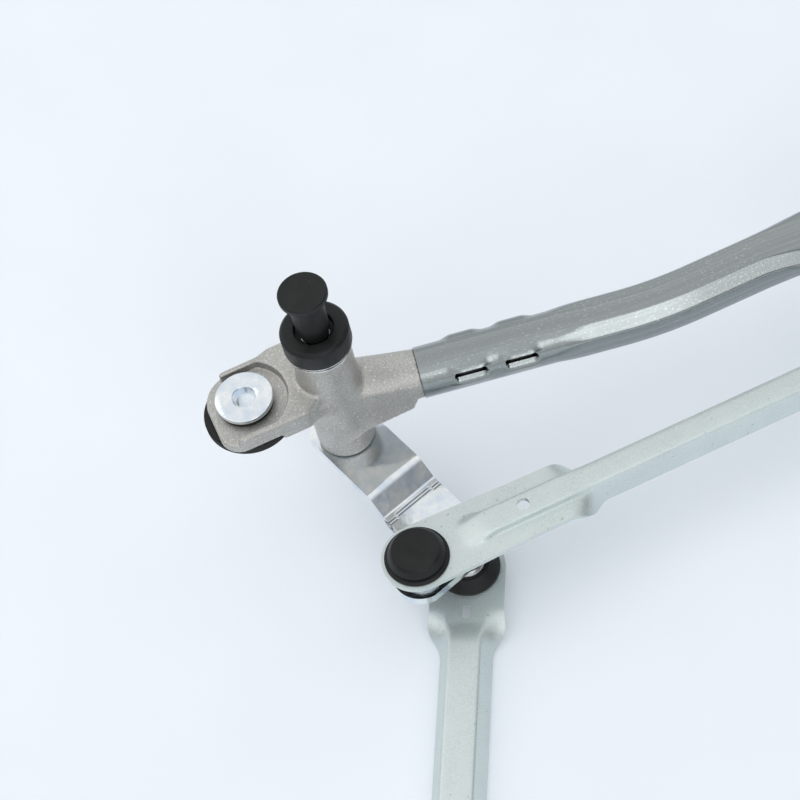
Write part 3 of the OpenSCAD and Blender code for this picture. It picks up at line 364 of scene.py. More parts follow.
class Tree:
    """A material's node tree, written as one call per node."""

    def __init__(self, name, place=None):
        self.material = bpy.data.materials.new(name)
        self.material.use_nodes = True
        self.nodes = self.material.node_tree.nodes
        self.links = self.material.node_tree.links
        self.shader = self.nodes["Principled BSDF"]
        if place:
            self.place = self.attribute(place).outputs["Vector"]
        else:
            self.place = self.nodes.new("ShaderNodeTexCoord").outputs["Object"]

    def feed(self, node, name, value):
        if isinstance(value, bpy.types.NodeSocket):
            self.links.new(value, node.inputs[name])
        else:
            node.inputs[name].default_value = value

    def add(self, kind, settings=None, **inputs):
        node = self.nodes.new("ShaderNode" + kind)
        for key, value in (settings or {}).items():
            setattr(node, key, value)
        for name, value in inputs.items():
            self.feed(node, name.replace("_", " "), value)
        return node

    def attribute(self, name):
        return self.add("Attribute", {"attribute_name": name})

    def noise(self, size_mm, detail=3.0, stretch=None):
        """Noise with features of a given size, stretched where scales for the axes are given."""
        place = self.place
        if stretch:
            place = self.add("Mapping", Vector=place, Scale=stretch).outputs["Vector"]
        node = self.add("TexNoise", Vector=place, Scale=1 / (size_mm * MM), Detail=detail)
        return node.outputs["Fac"]

    def height(self):
        """Height in the frame, in metres."""
        return self.add("SeparateXYZ", Vector=self.place).outputs["Z"]

    def ramp(self, value, low, high, out_low=0.0, out_high=1.0):
        node = self.add("MapRange", Value=value)
        set_range(node, low, high, out_low, out_high)
        return node.outputs["Result"]

    def times(self, first, second):
        node = self.add("Math", {"operation": "MULTIPLY"})
        self.links.new(first, node.inputs[0])
        self.links.new(second, node.inputs[1])
        return node.outputs["Value"]

    def blend(self, share, first, second):
        node = self.add("Mix", {"data_type": "RGBA"}, Factor=share)
        for name, colour in (("A", first), ("B", second)):
            socket = next(s for s in node.inputs if s.name == name and s.type == "RGBA")
            if isinstance(colour, bpy.types.NodeSocket):
                self.links.new(colour, socket)
            else:
                socket.default_value = (*colour, 1)
        return next(s for s in node.outputs if s.type == "RGBA")

    def surface(self, colour, metallic, roughness, bumps=(), **more):
        """Sets the shader; bumps are pairs of a height signal and its depth in millimetres."""
        self.feed(self.shader, "Base Color", colour)
        self.feed(self.shader, "Metallic", metallic)
        self.feed(self.shader, "Roughness", roughness)
        for name, value in more.items():
            self.feed(self.shader, name.replace("_", " "), value)
        normal = None
        for height, depth in bumps:
            bump = self.add("Bump", Height=height, Distance=depth * MM, Strength=1.0)
            if normal is not None:
                self.links.new(normal, bump.inputs["Normal"])
            normal = bump.outputs["Normal"]
        if normal is not None:
            self.links.new(normal, self.shader.inputs["Normal"])
        return self.material


def cast_aluminium():
    """Blasted casting with a sparkling grain, and a bright turned rim under the dust collar, with
    a band of painted shade where a groove would be.
    """
    tree = Tree("cast_aluminium")
    cloud = tree.ramp(tree.noise(9, 4), 0.35, 0.65)
    grain = tree.noise(0.55, 2)
    spark = tree.ramp(tree.noise(0.6, 1), 0.60, 0.74)
    body = tree.blend(cloud, (0.49, 0.48, 0.455), (0.56, 0.55, 0.525))
    pitted = tree.blend(tree.ramp(grain, 0.30, 0.50), (0.38, 0.37, 0.35), body)
    cast = tree.blend(spark, pitted, (0.80, 0.79, 0.76))
    top = FOOT[2] + BARREL_H
    height = tree.height()

    def above(limits, *levels):
        return tree.ramp(height, *((top - limit) * MM for limit in limits), *levels)

    turned = above(TURNED_FROM)
    # A dark band round the rim is painted shade that stands in for a groove; the rim has no groove
    # in its shape.
    groove_shade = tree.times(above(GROOVE_SHADE_FROM), above(GROOVE_SHADE_TO, 1.0, 0.0))
    ringed = tree.blend(turned, cast, (0.86, 0.86, 0.85))
    colour = tree.blend(groove_shade, ringed, (0.20, 0.20, 0.20))
    rough = tree.ramp(turned, 0, 1, 0.50, 0.18)
    return tree.surface(colour, 0.80, rough, [(grain, 0.06), (tree.noise(3, 3), 0.06)])


def drawn_steel():
    """Drawn tube with streaks, bands, scuffs and scratches along the straightened tube, and
    near-black painted shade in the crimps' open slits.
    """
    tree = Tree("drawn_steel", "grain")
    streak = tree.noise(1.2, 4, (0.004, 1.0, 1.0))
    band = tree.ramp(tree.noise(4.0, 2, (0.006, 1.0, 1.0)), 0.38, 0.62)
    patch = tree.ramp(tree.noise(16, 3, (0.35, 1.0, 1.0)), 0.35, 0.7)
    scuff = tree.ramp(tree.noise(0.6, 3, (0.5, 1.0, 1.0)), 0.58, 0.70)
    scratch = tree.ramp(tree.noise(0.4, 2, (0.05, 1.0, 1.0)), 0.70, 0.78)
    streaked = tree.ramp(streak, 0.35, 0.65)
    body = tree.blend(streaked, (0.28, 0.305, 0.305), (0.39, 0.41, 0.41))
    banded = tree.blend(band, body, (0.31, 0.335, 0.335))
    worn = tree.blend(tree.times(patch, scuff), banded, (0.50, 0.525, 0.525))
    scratched = tree.blend(scratch, worn, (0.52, 0.54, 0.54))
    # The open slits of the crimps are painted near-black: painted shade in the deep pits under the
    # lips.
    slit_shade = tree.attribute("slit_shade").outputs["Fac"]
    colour = tree.blend(slit_shade, scratched, (0.035, 0.035, 0.035))
    rough = tree.ramp(patch, 0, 1, 0.16, 0.25)
    return tree.surface(colour, 1.0, rough, [(streak, 0.03), (tree.noise(0.6, 2), 0.02)])


def zinc_sheet():
    """Passivated zinc: pale, faintly blue-green, with a fine fleck and darker spots."""
    tree = Tree("zinc_sheet")
    cloud = tree.ramp(tree.noise(14, 4), 0.3, 0.7)
    fleck = tree.noise(0.6, 3)
    spot = tree.ramp(tree.noise(1.8, 2), 0.70, 0.76)
    body = tree.blend(cloud, (0.62, 0.69, 0.68), (0.70, 0.765, 0.755))
    flecked = tree.blend(tree.ramp(fleck, 0.4, 0.62), body, (0.74, 0.80, 0.79))
    colour = tree.blend(spot, flecked, (0.46, 0.52, 0.52))
    rough = tree.ramp(fleck, 0.3, 0.7, 0.42, 0.58)
    return tree.surface(colour, 0.92, rough, [(fleck, 0.025), (tree.noise(6, 2), 0.08)])


def zinc_bright():
    """Bright zinc with a bluish cast, cloudy and finely flecked, and painted dark in scribed lines
    as their shade.
    """
    tree = Tree("zinc_bright")
    cloud = tree.ramp(tree.noise(6, 4), 0.35, 0.65)
    fleck = tree.noise(0.6, 3)
    stain = tree.ramp(tree.noise(2.2, 4), 0.62, 0.74)
    body = tree.blend(cloud, (0.72, 0.79, 0.87), (0.93, 0.945, 0.94))
    flecked = tree.blend(tree.ramp(fleck, 0.58, 0.78), body, (0.76, 0.84, 0.92))
    stained = tree.blend(stain, flecked, (0.80, 0.83, 0.83))
    # Scribed lines are painted dark: painted shade in the grooves.
    scribe_and_shade = tree.attribute("scribe_and_shade").outputs["Fac"]
    colour = tree.blend(scribe_and_shade, stained, (0.24, 0.25, 0.26))
    rough = tree.ramp(fleck, 0.3, 0.7, 0.10, 0.18)
    return tree.surface(colour, 1.0, rough, [(fleck, 0.008), (tree.noise(7, 2), 0.10)])


def turned_steel():
    tree = Tree("turned_steel")
    lines = tree.noise(0.3, 2, (0.05, 0.05, 1.0))
    colour = tree.blend(lines, (0.50, 0.51, 0.52), (0.66, 0.67, 0.68))
    return tree.surface(colour, 1.0, 0.27, [(lines, 0.01)])


def sintered_bronze():
    tree = Tree("sintered_bronze")
    pores = tree.noise(0.25, 2)
    porous = tree.ramp(pores, 0.35, 0.65)
    colour = tree.blend(porous, (0.36, 0.24, 0.12), (0.58, 0.42, 0.22))
    return tree.surface(colour, 0.9, 0.45, [(pores, 0.03)])


def black_plastic():
    """Moulded black plastic with a satin grain, a handled haze and a few specks of dust."""
    tree = Tree("black_plastic")
    grain = tree.noise(0.5, 3)
    dust = tree.ramp(tree.noise(0.8, 2), 0.72, 0.78)
    haze = tree.ramp(tree.noise(5, 3), 0.35, 0.7)
    body = tree.blend(haze, (0.011, 0.0125, 0.0125), (0.018, 0.020, 0.020))
    colour = tree.blend(dust, body, (0.07, 0.072, 0.072))
    rough = tree.ramp(haze, 0, 1, 0.42, 0.55)
    return tree.surface(colour, 0.0, rough, [(grain, 0.02)], Specular_IOR_Level=0.28)


def black_rubber():
    tree = Tree("black_rubber")
    grain = tree.noise(0.5, 3)
    mottle = tree.ramp(grain, 0.3, 0.7)
    colour = tree.blend(mottle, (0.010, 0.010, 0.010), (0.024, 0.024, 0.023))
    return tree.surface(colour, 0.0, 0.72, [(grain, 0.03)], Specular_IOR_Level=0.35)


MATERIALS = {
    "cast_aluminium": cast_aluminium(),
    "tube_steel": drawn_steel(),
    "zinc_sheet": zinc_sheet(),
    "zinc_bright": zinc_bright(),
    "spindle_steel": turned_steel(),
    "bush_bronze": sintered_bronze(),
    "black_plastic": black_plastic(),
    "rubber": black_rubber(),
}


# Pieces

def build_piece(name, node, points, faces, flip=False):
    """Piece in place of a CAD node, from points in millimetres about the left spindle's foot."""
    mesh = bpy.data.meshes.new(name)
    order = [tuple(int(i) for i in (reversed(face) if flip else face)) for face in faces]
    mesh.from_pydata(((np.asarray(points) + FOOT) * MM).tolist(), [], order)
    mesh.materials.append(MATERIALS[SLOTS[node]])
    mesh.polygons.foreach_set("use_smooth", [True] * len(mesh.polygons))
    piece = bpy.data.objects.new(name, mesh)
    bpy.context.scene.collection.objects.link(piece)
    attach(piece, frame["nodes"][node]["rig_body"])
    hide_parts(node)
    return piece


def mark_points(piece, name, values):
    """Gives each point of a piece a number for its material."""
    marks = piece.data.attributes.new(name, "FLOAT", "POINT")
    marks.data.foreach_set("value", np.ravel(values))


def weld(piece):
    """Merges the points of a piece that lie on one another."""
    mesh = bmesh.new()
    mesh.from_mesh(piece.data)
    bmesh.ops.remove_doubles(mesh, verts=mesh.verts, dist=WELD_GAP * MM)
    mesh.to_mesh(piece.data)
    mesh.free()


def soften(piece, width_mm, segments=3, angle=35):
    """Rounds the sharp edges of a piece."""
    merge = piece.modifiers.new("merge", "WELD")
    merge.merge_threshold = WELD_GAP * MM
    bevel = piece.modifiers.new("bevel", "BEVEL")
    bevel.width = width_mm * MM
    bevel.segments = segments
    bevel.limit_method = "ANGLE"
    bevel.angle_limit = math.radians(angle)
    bevel.harden_normals = True


def keep_node(node, width_mm):
    """Gives a CAD node that stays as it is its finish and small rounded edges."""
    piece = frame["nodes"][node]
    piece.data.materials.clear()
    piece.data.materials.append(MATERIALS[SLOTS[node]])
    piece.data.polygons.foreach_set("use_smooth", [True] * len(piece.data.polygons))
    soften(piece, width_mm)


def laid(points, place, turn):
    """Points given along, across and up, laid at a place in the direction of a turn."""
    along, across, up = np.moveaxis(np.asarray(points, float), -1, 0)
    x = place[0] + along * math.cos(turn) - across * math.sin(turn)
    y = place[1] + along * math.sin(turn) + across * math.cos(turn)
    return np.stack([x, y, place[2] + up], axis=-1)


def grid_patch(points, skip=()):
    """Points and quads of a grid of points, without the cells to skip."""
    rows, columns = points.shape[:2]
    faces = [
        (i * columns + j, (i + 1) * columns + j, (i + 1) * columns + j + 1, i * columns + j + 1)
        for i in range(rows - 1) for j in range(columns - 1) if (i, j) not in skip
    ]
    return points.reshape(-1, 3), faces


def ring_patch(outer, inner):
    """Points and quads between two closed loops of points."""
    count = len(outer)
    faces = [(i, (i + 1) % count, count + (i + 1) % count, count + i) for i in range(count)]
    return np.concatenate([outer, inner]), faces


def sheet_piece(name, node, patches, thickness, edge_mm, scribe_and_shade=None):
    """Piece of sheet metal from patches of its upper face, each with points, faces and a flip.

    The scribe_and_shade mark says how far each point lies in a scribed line; the material paints
    that share dark as shade.
    """
    points, faces = [], []
    for patch_points, patch_faces, flip in patches:
        start = sum(len(p) for p in points)
        points.append(patch_points)
        for face in patch_faces:
            shifted = tuple(start + i for i in face)
            faces.append(shifted[::-1] if flip else shifted)
    piece = build_piece(name, node, np.concatenate(points), faces)
    if scribe_and_shade is not None:
        mark_points(piece, "scribe_and_shade", scribe_and_shade)
    weld(piece)
    solid = piece.modifiers.new("thickness", "SOLIDIFY")
    solid.thickness = thickness * MM
    solid.offset = -1
    solid.use_even_offset = True
    solid.use_quality_normals = True
    soften(piece, edge_mm, 2, 50)


# Distance fields for castings

def join(a, b, radius):
    """Union of two distance fields with a fillet where they meet."""
    h = np.maximum(radius - np.abs(a - b), 0) / radius
    return np.minimum(a, b) - h * h * radius / 4


def cut_out(body, tool, radius):
    """Body without a tool, with rounded edges round the cut."""
    return -join(-body, tool, radius)


def slab(plan, z, low, high, edge):
    """Plan outline drawn from low to high, with rounded edges."""
    a = plan + edge
    b = np.abs(z - (low + high) / 2) - (high - low) / 2 + edge
    return np.minimum(np.maximum(a, b), 0) + np.hypot(np.maximum(a, 0), np.maximum(b, 0)) - edge


def outline(points, x, y):
    """Signed distance to a closed polygon in the plan."""
    best = np.full(np.broadcast(x, y).shape, np.inf)
    inside = np.zeros(best.shape, bool)
    for (ax, ay), (bx, by) in zip(points, np.roll(points, -1, axis=0)):
        ex, ey = bx - ax, by - ay
        t = np.clip(((x - ax) * ex + (y - ay) * ey) / max(ex * ex + ey * ey, 1e-9), 0, 1)
        best = np.minimum(best, (x - ax - t * ex) ** 2 + (y - ay - t * ey) ** 2)
        crosses = ((ay > y) != (by > y)) & (x < ex * (y - ay) / (ey if ey else 1e-9) + ax)
        inside ^= crosses
    return (np.sqrt(best) * np.where(inside, -1, 1)).astype(np.float32)


def below_line(start, end, along, up):
    """Distance below the line from one point of a side view to another."""
    run, rise = end[0] - start[0], end[1] - start[1]
    return (rise * (along - start[0]) - run * (up - start[1])) / math.hypot(run, rise)


def field_skin(field, low, step):
    """Points and quads of a distance field's surface."""
    grid = openvdb.FloatGrid(3.0)
    grid.copyFromArray(np.clip(field / step, -3, 3).astype(np.float32))
    points, quads = grid.convertToQuads(0.0)
    return points * step + low, quads


def ear_outline():
    """Plan of the ear and its web.

    The front edge turns in to a tip on the barrel, the back edge runs in hollow.
    """
    front = EAR_AT[1] - EAR_FRONT
    back = EAR_AT[1] + EAR_BACK
    end_x = EAR_AT[0] - EAR_NOSE
    tip = polar(BARREL_R, math.radians(WEB_TIP))
    turn = math.radians(WEB_TURN)
    turn_y = front + WEB_ROUND * (1 - math.cos(turn))
    turn_x = tip[0] - (tip[1] - turn_y) / math.tan(turn) - WEB_ROUND * math.sin(turn)
    swollen = back + WEB_SWELL
    share = np.linspace(0, 1, 9)
    swell_x = EAR_AT[0] + RECESS_R - SWELL_RUN * share
    front_corner = (end_x + EAR_FRONT_CORNER, front + EAR_FRONT_CORNER)
    back_corner = (end_x + EAR_BACK_CORNER, back - EAR_BACK_CORNER)
    return np.concatenate([
        arc(front_corner, EAR_FRONT_CORNER, 180, 270, 12),
        arc((turn_x, front + WEB_ROUND), WEB_ROUND, 270, 270 + WEB_TURN, 6),
        [tip, (0, 0), (BARREL_R, swollen - HOLLOW_R)],
        arc((BARREL_R, swollen), HOLLOW_R, 270, 180, 24),
        np.stack([swell_x, swollen - WEB_SWELL * smooth_step(share, 0, 1)], axis=1),
        arc(back_corner, EAR_BACK_CORNER, 90, 180, 16),
    ])


def ear_field(x, y, z):
    """Ear and web: a recess for the fixing, a rib along each side, a pocket and a hole below."""
    seat = EAR_Z + EAR_T
    rib_top = seat + RIB_H
    far = 3 * RIB_H
    middle = EAR_AT[1] + (EAR_BACK - EAR_FRONT) / 2
    from_fixing = np.hypot(x - EAR_AT[0], y - EAR_AT[1])
    between = np.abs(y - middle) - (EAR_FRONT + EAR_BACK) / 2 + RIB_W
    rib_end = EAR_AT[0] - np.where(y > middle, RIB_BACK_REACH, RIB_FRONT_REACH)
    recess = np.maximum(np.minimum(from_fixing - RECESS_R, x - EAR_AT[0]), between)
    recess = np.minimum(recess, x - rib_end)
    pocket = np.minimum(from_fixing - POCKET_R, x - EAR_AT[0])
    hole = from_fixing - GROMMET_HOLE_R
    field = slab(outline(ear_outline(), x, y), z, EAR_Z - WEB_DROP, rib_top, EAR_EDGE)
    field = cut_out(field, slab(recess, z, seat, rib_top + far, RECESS_EDGE), RECESS_RIM)
    field = cut_out(field, slab(pocket, z, EAR_Z - far, EAR_Z, POCKET_EDGE), POCKET_RIM)
    return cut_out(field, slab(hole, z, EAR_Z - far, seat + far, HOLE_EDGE), HOLE_RIM)


def arm_field(along, across, rise):
    """Arm that is round on top with flat sides, which run down to a sloping lower edge."""
    root = (BARREL_R - GUSSET_STEP / 2, GUSSET_Z - TUBE_Z)
    heel = (TUBE_START - 2 * GUSSET_STEP, GUSSET_END_Z - TUBE_Z)
    step = (TUBE_START - GUSSET_STEP, heel[1] + 2 * GUSSET_STEP)
    share = np.clip(along / TUBE_START, 0, 1)
    root_r = mix(ARM_ROOT_R, ARM_FLARE_R, smooth_step(across, -ARM_W / 8, ARM_W / 2))
    radius = mix(root_r, ARM_R, share ** ARM_TAPER_POWER)
    cone = np.maximum(np.maximum(np.hypot(across, rise) - radius, along - TUBE_START), -along)
    under = np.maximum(below_line(root, heel, along, rise), below_line(heel, step, along, rise))
    flat = np.maximum(np.maximum(under, rise), np.maximum(-along, across - ARM_W / 2))
    front = ARM_W / 2 + across - ARM_DRAFT * rise
    return cut_out(np.minimum(cone, flat), front, DRAFT_EDGE)


def spigot_field(along, across, rise):
    """Spigot in the tube, with pockets that take the crimps."""
    ends = np.maximum(along - TUBE_START - SPIGOT_LEN, SPIGOT_FROM - along)
    spigot = np.maximum(np.hypot(across, rise) - SPIGOT_R, ends)
    floor = SPIGOT_R - CRIMP_DEPTH - SPIGOT_POCKET_DEEPER
    tall = np.abs(rise - SPIGOT_POCKET_RISE) - SPIGOT_POCKET_HALF
    for crimp_at in CRIMP_AT:
        pocket = np.abs(along - TUBE_START - crimp_at) - CRIMP_LEN / 2 - SPIGOT_POCKET_PLAY
        pocket = np.maximum(pocket, floor - np.abs(across))
        spigot = np.maximum(spigot, -np.maximum(pocket, tall))
    return spigot


def housing_field(x, y, z):
    """Die-cast pivot about its spindle: barrel, ear, arm and spigot."""
    radial = np.hypot(x, y)
    along = x * math.cos(TUBE_TURN) - y * math.sin(TUBE_TURN)
    across = x * math.sin(TUBE_TURN) + y * math.cos(TUBE_TURN)
    rise = z - TUBE_Z
    rim_z = BARREL_H - RIM_H
    body = slab(radial - BARREL_R, z, 0, BARREL_H, BARREL_EDGE)
    fillet = mix(WEB_FILLET, EAR_FILLET, smooth_step(z, EAR_Z, EAR_Z + EAR_T))
    body = join(body, ear_field(x, y, z), fillet)
    body = join(body, arm_field(along, across, rise), ARM_FILLET)
    body = join(body, slab(radial - RIM_R, z, rim_z, BARREL_H, RIM_EDGE), RIM_FILLET)
    body = np.minimum(body, slab(radial - NOSE_R, z, rim_z, BARREL_H + NOSE_H, NOSE_EDGE))
    body = np.minimum(body, spigot_field(along, across, rise))
    return np.maximum(body, BORE_R - radial)


def pivot_housings():
    """Both die-cast pivots; the right one is the left one's mirror image."""
    margin = 3 * CAST_STEP
    reach = (TUBE_START + SPIGOT_LEN) * math.cos(TUBE_TURN) + SPIGOT_R
    low = np.array([EAR_AT[0] - EAR_NOSE, -reach * math.tan(TUBE_TURN) - ARM_R, 0]) - margin
    high = np.array([reach, EAR_AT[1] + EAR_BACK + WEB_SWELL, BARREL_H + NOSE_H]) + margin
    spans = tuple(slice(a, b, CAST_STEP) for a, b in zip(low, high))
    x, y, z = (axis.astype(np.float32) for axis in np.ogrid[spans])
    points, quads = field_skin(housing_field(x, y, z), low, CAST_STEP)
    build_piece("pivot_casting_left", "pivot_housing_left", points, quads)
    mirrored = points * (-1, 1, 1) + (PIVOT_GAP, 0, 0)
    build_piece("pivot_casting_right", "pivot_housing_right", mirrored, quads, flip=True)


# Frame tube

def tube_path(x):
    """Sideways place and plan direction of the tube at a distance along the linkage."""
    x = min(x, PIVOT_GAP - x)
    tangent = BEND_R * math.tan(TUBE_TURN / 2)
    bend_in = BEND_AT - tangent * math.cos(TUBE_TURN)
    bend_out = BEND_AT + tangent
    middle = -BEND_AT * math.tan(TUBE_TURN)
    if x <= bend_in:
        return -x * math.tan(TUBE_TURN), -TUBE_TURN
    if x >= bend_out:
        return middle, 0.0
    sag = BEND_R - math.sqrt(BEND_R ** 2 - (x - bend_out) ** 2)
    return middle + sag, math.asin((x - bend_out) / BEND_R)


def tube_section(x, shares, inset):
    """Section of the tube at shares of its girth, as sideways and upward distances."""
    near = min(x, PIVOT_GAP - x)
    round_end = (TUBE_START + ROUND_LEN) * math.cos(TUBE_TURN)
    squeeze = smooth_step(near, round_end, round_end + SQUEEZE_RUN)
    flat_from = PIVOT_GAP / 2 - FLAT_LEN / 2
    flat = smooth_step(near, flat_from - FLATTEN_RUN, flat_from)
    half_w = mix(mix(TUBE_R, SQUEEZED_HALF[0], squeeze), FLAT_HALF[0], flat) - inset
    half_h = mix(mix(TUBE_R, SQUEEZED_HALF[1], squeeze), FLAT_HALF[1], flat) - inset
    power = 2 / mix(mix(2, SQUEEZED_POWER, squeeze), FLAT_POWER, flat)
    turn = np.linspace(0, 2 * math.pi, SECTION_STEPS)
    side = half_w * np.sign(np.cos(turn)) * np.abs(np.cos(turn)) ** power
    up = half_h * np.sign(np.sin(turn)) * np.abs(np.sin(turn)) ** power
    girth = np.concatenate([[0], np.cumsum(np.hypot(np.diff(side), np.diff(up)))])
    side, up = (np.interp(shares, girth / girth[-1], values) for values in (side, up))
    past_crease = np.maximum((up - side) * math.sqrt(0.5) - CREASE_REACH + inset, 0)
    over = squeeze * past_crease * math.sqrt(0.5)
    return side + over, up - over


def crimp_push(along, turn):
    """Push of the crimps on the tube's wall, outward where positive, and a mask of the open slits,
    which the tube's material paints near-black as shade.
    """
    push, slit_shade = np.zeros_like(turn), np.zeros_like(turn)
    for side_turn in (CRIMP_LIFT, math.pi - CRIMP_LIFT):
        toward_top = 1 if side_turn < math.pi / 2 else -1
        across = (turn - side_turn) * toward_top * TUBE_R
        share = across / CRIMP_W + 0.5
        half = CRIMP_LEN / 2 - CRIMP_CORNER * np.minimum(np.abs(2 * share - 1), 1) ** 3
        open_slit = (share > SLIT_SHARE) & (share < 1)
        pressed = CRIMP_DEPTH * np.clip(share, 0, SLIT_SHARE)
        tab = np.where(open_slit, SLIT_DEPTH, pressed) * (share < 1)
        above = np.exp(-((across - CRIMP_W / 2) / BULGE_ABOVE_W) ** 2) * (across >= CRIMP_W / 2)
        below = np.exp(-((across + CRIMP_W / 2 + BULGE_BELOW_GAP) / BULGE_BELOW_W) ** 2)
        bulge = BULGE * (above + BULGE_BELOW_SHARE * below * (share < 1))
        for crimp_at in CRIMP_AT:
            reach = abs(along - crimp_at)
            held = 1 - smooth_step(reach - half, -CRIMP_END_RUN, 0)
            slit_shade = np.maximum(slit_shade, open_slit * (held > 0.5))
            past_end = reach - CRIMP_LEN / 2
            swell = 1 - smooth_step(past_end, -BULGE_END_RUN, BULGE_END_RUN)
            push += swell * bulge - held * tab
    return push, slit_shade


def tube_stations():
    """Places of the tube's rings along the linkage, close together where the crimps are."""
    start = TUBE_START * math.cos(TUBE_TURN)
    fine = np.arange(start, start + ROUND_LEN * math.cos(TUBE_TURN), TUBE_FINE)
    coarse = np.arange(fine[-1] + TUBE_COARSE / 2, PIVOT_GAP / 2, TUBE_COARSE)
    half = np.concatenate([fine, coarse])
    return np.concatenate([half, PIVOT_GAP - half[::-1]])


def frame_tube():
    """Bent tube with squeezed and flattened stretches and lanced crimps, as a closed wall."""
    sheared = [CRIMP_LIFT + (share - 0.5) * CRIMP_W / TUBE_R for share in (SLIT_SHARE, 1)]
    both = sheared + [math.pi - turn for turn in sheared]
    edges = [edge + nudge for edge in both for nudge in (-SLIT_NUDGE, SLIT_NUDGE)]
    even = np.linspace(0, 2 * math.pi, TUBE_SIDES, endpoint=False)
    turns = np.sort(np.concatenate([even, edges]))
    shares = turns / (2 * math.pi)
    stations = tube_stations()
    rings, grain, slit_shades = [], [], []
    for inset in (0.0, TUBE_WALL):
        for x in stations:
            side, up = tube_section(x, shares, inset)
            along = min(x, PIVOT_GAP - x) / math.cos(TUBE_TURN) - TUBE_START
            slit_shade = np.zeros_like(turns)
            if along < ROUND_LEN:
                push, slit_shade = crimp_push(along, turns)
                side, up = side * (1 + push / TUBE_R), up * (1 + push / TUBE_R)
            slit_shades.append(slit_shade)
            place, turn = tube_path(x)
            turn = turn if x < PIVOT_GAP / 2 else -turn
            ring_x, ring_y = x - side * math.sin(turn), place + side * math.cos(turn)
            rings.append(np.stack([ring_x, ring_y, TUBE_Z + up], axis=1))
            round_y, round_z = TUBE_R * np.cos(turns), TUBE_R * np.sin(turns)
            grain.append(np.stack([np.full_like(turns, x), round_y, round_z], axis=1))
    count, around = len(stations), len(turns)
    inner = count * around
    faces = []
    for j in range(around):
        k = (j + 1) % around
        for i in range(count - 1):
            a, b = i * around, (i + 1) * around
            faces.append((a + j, b + j, b + k, a + k))
            faces.append((inner + a + j, inner + a + k, inner + b + k, inner + b + j))
        last = (count - 1) * around
        faces.append((j, k, inner + k, inner + j))
        faces.append((last + j, inner + last + j, inner + last + k, last + k))
    piece = build_piece("frame_tube_bent", "frame_tube", np.concatenate(rings), faces)
    straightened = piece.data.attributes.new("grain", "FLOAT_VECTOR", "POINT")
    straightened.data.foreach_set("vector", (np.concatenate(grain) * MM).ravel())
    # Marks the open slits, which the tube's material paints near-black as shade.
    mark_points(piece, "slit_shade", np.concatenate(slit_shades))
    piece.data.set_sharp_from_angle(angle=TUBE_SHARP)


# Pressed links

def bend(before, corner, after, count=6):
    """Points on a smooth bend from one point past a corner to another."""
    t = np.linspace(0, 1, count)[:, None]
    return (1 - t) ** 2 * before + 2 * t * (1 - t) * corner + t ** 2 * after


def link_half_width(link, s):
    return mix(link.end_r, link.half_w, smooth_step(s, 0, link.fold[0]))


def link_section(link, s):
    """Upper face of a link's section at a distance from its nearer ball, from edge to edge."""
    nose = np.clip((s - link.nose[0]) / (link.nose[1] - link.nose[0]), 0, 1)
    web = mix(BEAD_TIP, link.web, math.sqrt(1 - (1 - nose) ** 2))
    fold = smooth_step(s, *link.fold)
    wall_turn = link.wall * smooth_step(s, *link.bead)
    wall = np.array([math.cos(wall_turn), -math.sin(wall_turn)])
    flange = np.array([math.cos(link.wall * fold), -math.sin(link.wall * fold)])
    flat_out = link_half_width(link, s) - web - link.rise * wall[0]
    folded_out = (link.depth + link.rise * wall[1]) / math.sin(link.wall)
    top = np.array([web, -link.rise * wall[1]])
    low = top + link.rise * wall
    edge = low + mix(flat_out, folded_out, fold) * flange
    curve = min(mix(BEND_SHARE, FOLDED_SHARE, fold) * link.rise, CURVE_LIMIT * web)
    low_curve = mix(BEND_SHARE, 1 - FOLDED_SHARE, fold) * link.rise
    first = bend(top - (curve, 0), top, top + curve * wall)
    second = bend(low - low_curve * wall, low, low + low_curve * flange)
    out = second[-1] + np.linspace(0, 1, 5)[1:, None] * (edge - second[-1])
    half = np.concatenate([[(0, top[1]), ((web - curve) / 2, top[1])], first, second, out])
    return np.concatenate([half[:0:-1] * (-1, 1), half])


def hole_ring(loop, centre, straight, radius):
    """Points of a round or long hole, each in the direction of a point of the loop round it."""
    turn = np.arctan2(loop[:, 1] - centre[1], loop[:, 0] - centre[0])
    sine, cosine = np.abs(np.sin(turn)), np.abs(np.cos(turn))
    round_end = straight * cosine + np.sqrt(np.maximum(radius ** 2 - (straight * sine) ** 2, 0))
    beside = radius / np.maximum(sine, 1e-6)
    reach = np.where(straight * sine > radius * cosine, beside, round_end)
    x, y = centre[0] + reach * np.cos(turn), centre[1] + reach * np.sin(turn)
    return np.stack([x, y, loop[:, 2]], axis=1)


